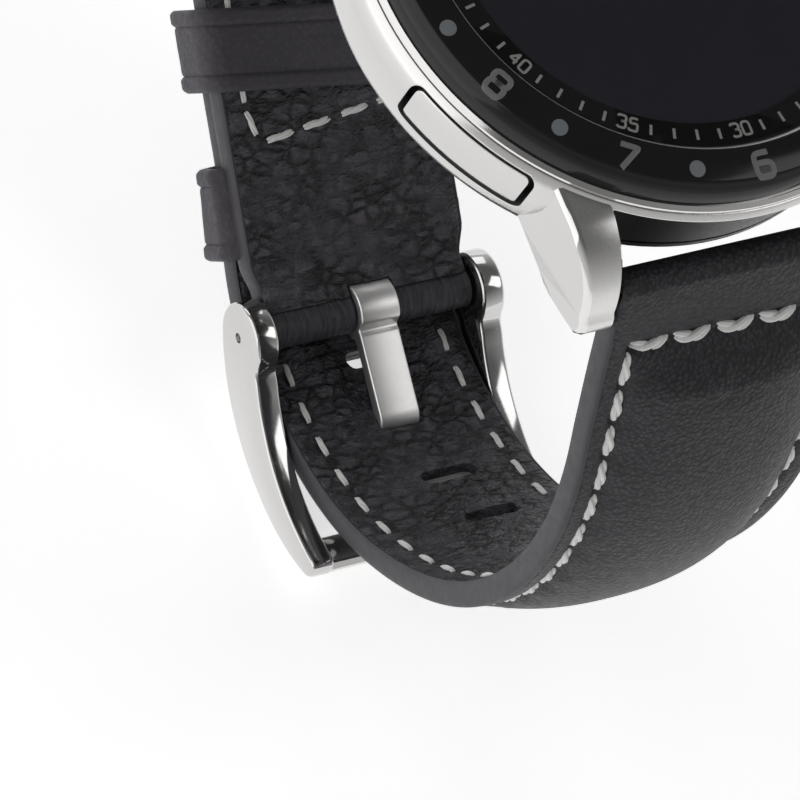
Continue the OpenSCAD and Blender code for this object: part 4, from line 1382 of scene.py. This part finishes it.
def pusher_cap():
    """One pusher's cap with its stem, at 12 o'clock."""
    section = [(PUSHER_BACK, 2)] + case_profile(0.12)[2:-1] + [(PUSHER_BACK, CASE_Z1)]
    cap = new_object("cap", *revolve(section, 720))
    block = rounded_box(PUSHER_W / 2, 20, 26, PUSHER_Z - PUSHER_H / 2, PUSHER_Z + PUSHER_H / 2, 0.55)
    carve(cap, [new_object("block", *block)], "INTERSECT", "EXACT")
    bevel(cap, 0.28, 3, 35)
    turn = np.arange(32) * math.pi / 16
    stem = loft([[(0.75 * math.cos(a), y, STEM_Z + 0.75 * math.sin(a)) for a in turn] for y in (18.3, 21.7)])
    groove = loft([[(r * math.cos(a), y, STEM_Z + r * math.sin(a)) for a in turn]
                   for r, y in ((1.2, 18.7), (1.2, 19.0), (0.5, 19.0), (0.5, 18.7))], closed=True)
    stem_obj = new_object("stem", *stem)
    carve(stem_obj, [new_object("groove", *groove)], "DIFFERENCE", "EXACT")
    return carve(cap, [stem_obj], "UNION", "EXACT")


def pushers():
    cap = pusher_cap()
    for hour in (2, 4, 8, 10):
        obj = bpy.data.objects.new(f"pusher_{hour}_cap", cap.data.copy())
        bpy.context.scene.collection.objects.link(obj)
        obj.data.transform(Matrix.Rotation(math.radians(-pusher_angle(hour)), 4, "Z"))
        finish_piece(obj, f"pusher_{hour}", MAT["steel"], [f"pusher_cap_{hour}"], 32)
    bpy.data.objects.remove(cap)


BEZEL_TOP = [(20.9, 11.42), (20.72, 11.58)] + arc3((20.6, 11.63), (19.6, 11.82), (18.62, 11.93), 6)


def bezel():
    """Black insert: flat top, a narrow facet, then a polished slope down to the steel ring."""
    profile = [(18.05, 9.8), (BEZEL_R, 9.8), (BEZEL_R, 10.02)]
    profile += arc3((BEZEL_R - 0.03, 10.15), (BEZEL_R - 0.24, 10.85), (BEZEL_R - 0.66, 11.36), 8)
    profile += BEZEL_TOP
    profile += [(18.45, 11.94), (18.28, 11.82), (18.12, 11.62), (18.05, 11.5)]
    obj = new_object("bezel_insert_ceramic", *revolve(profile, 360))
    finish_piece(obj, WATCH, MAT["bezel"], ["bezel_insert"], 24)
    # A thin grey metal ring on the inner chamfer of the black insert: painted highlight standing in for the
    # light on that edge.
    section = [(18.1, 11.5), (18.13, 11.68), (18.3, 11.87), (18.36, 11.9), (18.34, 11.85), (18.2, 11.6)]
    line = new_object("bezel_inner_highlight_ring", *revolve(section, 240))
    finish_piece(line, WATCH, MAT["inner_glint"], (), 24)


def bezel_top(r):
    """Height of the bezel's top at radius r."""
    radii, heights = np.array(BEZEL_TOP[::-1]).T
    return float(np.interp(r, radii, heights))


PRINT_STEP = 0.09           # distance of the points along a printed stroke


def corner_path(points, radius, steps=5):
    """A polyline in a plane, its inner corners rounded, as evenly spaced points."""
    points = [np.array(p, float) for p in points]
    path = [points[0]]
    for a, b, c in zip(points, points[1:], points[2:]):
        u, v = a - b, c - b
        cut = min(radius, np.linalg.norm(u) / 2, np.linalg.norm(v) / 2)
        start, end = b + u / np.linalg.norm(u) * cut, b + v / np.linalg.norm(v) * cut
        for t in np.linspace(0, 1, steps):
            path.append((1 - t) ** 2 * start + 2 * t * (1 - t) * b + t ** 2 * end)
    path = np.array(path + [points[-1]])
    travel = np.concatenate([[0], np.cumsum(np.linalg.norm(np.diff(path, axis=0), axis=1))])
    even = np.linspace(0, travel[-1], int(travel[-1] / PRINT_STEP) + 2)
    return np.column_stack([np.interp(even, travel, path[:, k]) for k in (0, 1)])


# Strokes of each digit on a field 1 wide and 1 high, and how far their corners are rounded
DIGITS = {
    "0": ([[(0.5, 0), (0, 0), (0, 1), (1, 1), (1, 0), (0.5, 0)]], 0.42),
    "1": ([[(0.15, 0.8), (0.55, 1), (0.55, 0)]], 0.05),
    "2": ([[(0, 0.8), (0, 1), (1, 1), (1, 0.5), (0, 0.2), (0, 0), (1, 0)]], 0.3),
    "3": ([[(0, 0.86), (0.1, 1), (1, 1), (1, 0.53), (0.4, 0.53)],
           [(0.4, 0.53), (1, 0.53), (1, 0), (0.1, 0), (0, 0.14)]], 0.34),
    "4": ([[(0.75, 0), (0.75, 1), (0, 0.3), (1, 0.3)]], 0.04),
    "5": ([[(0.95, 1), (0.1, 1), (0.05, 0.55), (1, 0.62), (1, 0), (0, 0), (0, 0.16)]], 0.26),
    "6": ([[(0.9, 1), (0, 1), (0, 0), (1, 0), (1, 0.58), (0, 0.58)]], 0.34),
    "7": ([[(0, 1), (1, 1), (0.3, 0)]], 0.03),
    "8": ([[(0.5, 0.53), (0, 0.53), (0, 1), (1, 1), (1, 0.53), (0.5, 0.53)],
           [(0.5, 0.53), (0, 0.53), (0, 0), (1, 0), (1, 0.53), (0.5, 0.53)]], 0.3),
    "9": ([[(0.1, 0), (1, 0), (1, 1), (0, 1), (0, 0.42), (1, 0.42)]], 0.34),
}


def number(text, angle, radius, width, height, stroke, gap, surface, flip):
    """Raised print of a number at a clock angle. flip turns its top towards the middle."""
    total = len(text) * width + (len(text) - 1) * gap
    parts = []
    a = math.radians(angle)
    outward = np.array([math.sin(a), math.cos(a)])
    right = np.array([math.cos(a), -math.sin(a)])
    if flip:
        right, up = -right, -outward
    else:
        up = outward
    for k, digit in enumerate(text):
        strokes, rounding = DIGITS[digit]
        left = k * (width + gap) - total / 2
        for line in strokes:
            placed = [(left + px * width, (py - 0.5) * height) for px, py in line]
            flat = corner_path(placed, rounding * width)
            step = np.gradient(flat, axis=0)
            step /= np.maximum(np.linalg.norm(step, axis=1), 1e-9)[:, None]
            side = np.column_stack([-step[:, 1], step[:, 0]])
            rings = []
            for p, n in zip(flat, side):
                ring = []
                for o, h in ((-0.5, 0.0), (-0.44, 0.018), (0, 0.022), (0.44, 0.018), (0.5, 0.0), (0, -0.03)):
                    q = p + n * o * stroke
                    xy = outward * radius + right * q[0] + up * q[1]
                    ring.append((*xy, surface(np.linalg.norm(xy)) + h))
                rings.append(ring)
            parts.append(loft(rings))
    return parts


def bezel_numbers():
    digits, dots = [], []
    for hour in range(1, 13):
        flip = 4 <= hour <= 8
        digits += number(str(hour), 30 * hour, 19.9, 1.35, 1.7, 0.42, 0.75, bezel_top, flip)
        a = math.radians(30 * hour + 15)
        centre = np.array([math.sin(a), math.cos(a)]) * 19.85
        rings = []
        for share, h in ((1, -0.02), (1, 0.014), (0.9, 0.022), (0.4, 0.024)):
            ring = []
            for turn in np.arange(32) * math.pi / 16:
                xy = centre + 0.6 * share * np.array([math.cos(turn), math.sin(turn)])
                ring.append((*xy, bezel_top(np.linalg.norm(xy)) + h))
            rings.append(ring)
        dots.append(loft(rings))
    finish_piece(new_object("bezel_numerals", *join(digits)), WATCH, MAT["digits"])
    finish_piece(new_object("bezel_dots", *join(dots)), WATCH, MAT["dots"])


def minute_marks():
    """Ticks at each minute and small numbers at every fifth one."""
    level = box_mm("minute_ring")[1][2]
    parts = []
    for minute in range(60):
        if minute % 5 == 0:
            text = str(minute or 60).zfill(2)
            flip = 20 <= minute <= 40
            parts += number(text, 6 * minute, 16.6, 0.62, 1.0, 0.2, 0.26, lambda r: level, flip)
            continue
        a = math.radians(6 * minute)
        outward, right = np.array([math.sin(a), math.cos(a)]), np.array([math.cos(a), -math.sin(a)])
        rings = []
        for z, inset in ((level - 0.02, 0), (level + 0.018, 0), (level + 0.024, 0.03)):
            ring = []
            for o, r in ((-1, 16.3), (1, 16.3), (1, 17.1), (-1, 17.1)):
                edge = inset if r > 17 else -inset
                xy = outward * (r - edge) + right * o * (0.11 - inset)
                ring.append((*xy, z))
            rings.append(ring)
        parts.append(loft(rings))
    finish_piece(new_object("minute_marks", *join(parts)), WATCH, MAT["marks"])


# ---- Stage ---------------------------------------------------------------------------------------


FLOOR_REACH = 8.0            # metres from the middle to the floor's edge


def stage():
    low, reach = cad_low[2], FLOOR_REACH
    mesh = bpy.data.meshes.new("floor")
    corners = [(-reach, -reach, low), (reach, -reach, low), (reach, reach, low), (-reach, reach, low)]
    mesh.from_pydata(corners, [], [[0, 1, 2, 3]])
    floor = bpy.data.objects.new("floor", mesh)
    bpy.context.scene.collection.objects.link(floor)
    paper = Shader("floor_paper", Roughness=0.85, Specular_IOR_Level=0.2, Emission_Color=(1, 1, 1, 1),
                   Emission_Strength=FLOOR_GLOW)
    paper.colour(paper.mix(paper.noise(40, 2), (0.93, 0.93, 0.935, 1), (0.95, 0.95, 0.95, 1)))
    mesh.materials.append(paper.material)


FLOOR_GLOW = 0.6
HORIZON_LIGHT = 0.6
ZENITH_LIGHT = 0.12


def lamp(name, place, aim, size, brightness):
    """Area lamp whose surface is as bright as brightness times a white page in even light."""
    light = bpy.data.lights.new(name, "AREA")
    light.shape = "RECTANGLE"
    light.size, light.size_y = size
    light.energy = brightness * math.pi * size[0] * size[1]
    obj = bpy.data.objects.new(name, light)
    obj.location = place
    obj.rotation_mode = "QUATERNION"
    obj.rotation_quaternion = (Vector(aim) - Vector(place)).to_track_quat("-Z", "Y")
    bpy.context.scene.collection.objects.link(obj)


def studio():
    """A world that is bright at the horizon and dark overhead, two soft boxes and a small key light."""
    world = bpy.data.worlds.new("studio")
    world.use_nodes = True
    tree = world.node_tree
    direction = tree.nodes.new("ShaderNodeTexCoord").outputs["Generated"]
    split = tree.nodes.new("ShaderNodeSeparateXYZ")
    tree.links.new(direction, split.inputs[0])
    fade = tree.nodes.new("ShaderNodeMapRange")
    fade.inputs["From Min"].default_value = 0.1
    fade.inputs["From Max"].default_value = 0.75
    fade.inputs["To Min"].default_value = HORIZON_LIGHT
    fade.inputs["To Max"].default_value = ZENITH_LIGHT
    tree.links.new(split.outputs["Z"], fade.inputs["Value"])
    tree.links.new(fade.outputs["Result"], tree.nodes["Background"].inputs["Strength"])
    tree.nodes["Background"].inputs["Color"].default_value = (1, 1, 1, 1)
    bpy.context.scene.world = world
    middle = (0, 0, -0.02)
    lamp("left_softbox", (-0.6, 0.05, 0.25), middle, (0.8, 0.7), 0.95)
    lamp("back_softbox", (0.05, 0.7, 0.3), middle, (0.8, 0.4), 1.0)
    lamp("key", (0.74, -0.3, 0.92), middle, (0.56, 0.56), 1.5)
    bpy.context.scene.view_settings.view_transform = "Standard"


def camera():
    data = bpy.data.cameras.new("camera")
    data.lens = 270
    data.sensor_width = 36
    data.clip_start, data.clip_end = 0.01, 10
    obj = bpy.data.objects.new("camera", data)
    right = Vector((0.869, -0.359, 0.3405))
    back = Vector((-0.4508, -0.2905, 0.844)).normalized()
    up = back.cross(right).normalized()
    right = up.cross(back)
    turn = Matrix((right, up, back)).transposed()
    obj.matrix_world = Matrix.Translation(Vector((-213.0, -146.3, 347.8)) * MM) @ turn.to_4x4()
    bpy.context.scene.collection.objects.link(obj)
    bpy.context.scene.camera = obj


camera()
studio()
stage()
dress_cad()
long_strap()
short_strap()
keepers()
buckle()
tongue()
steel_case()
pushers()
bezel()
bezel_numbers()
minute_marks()
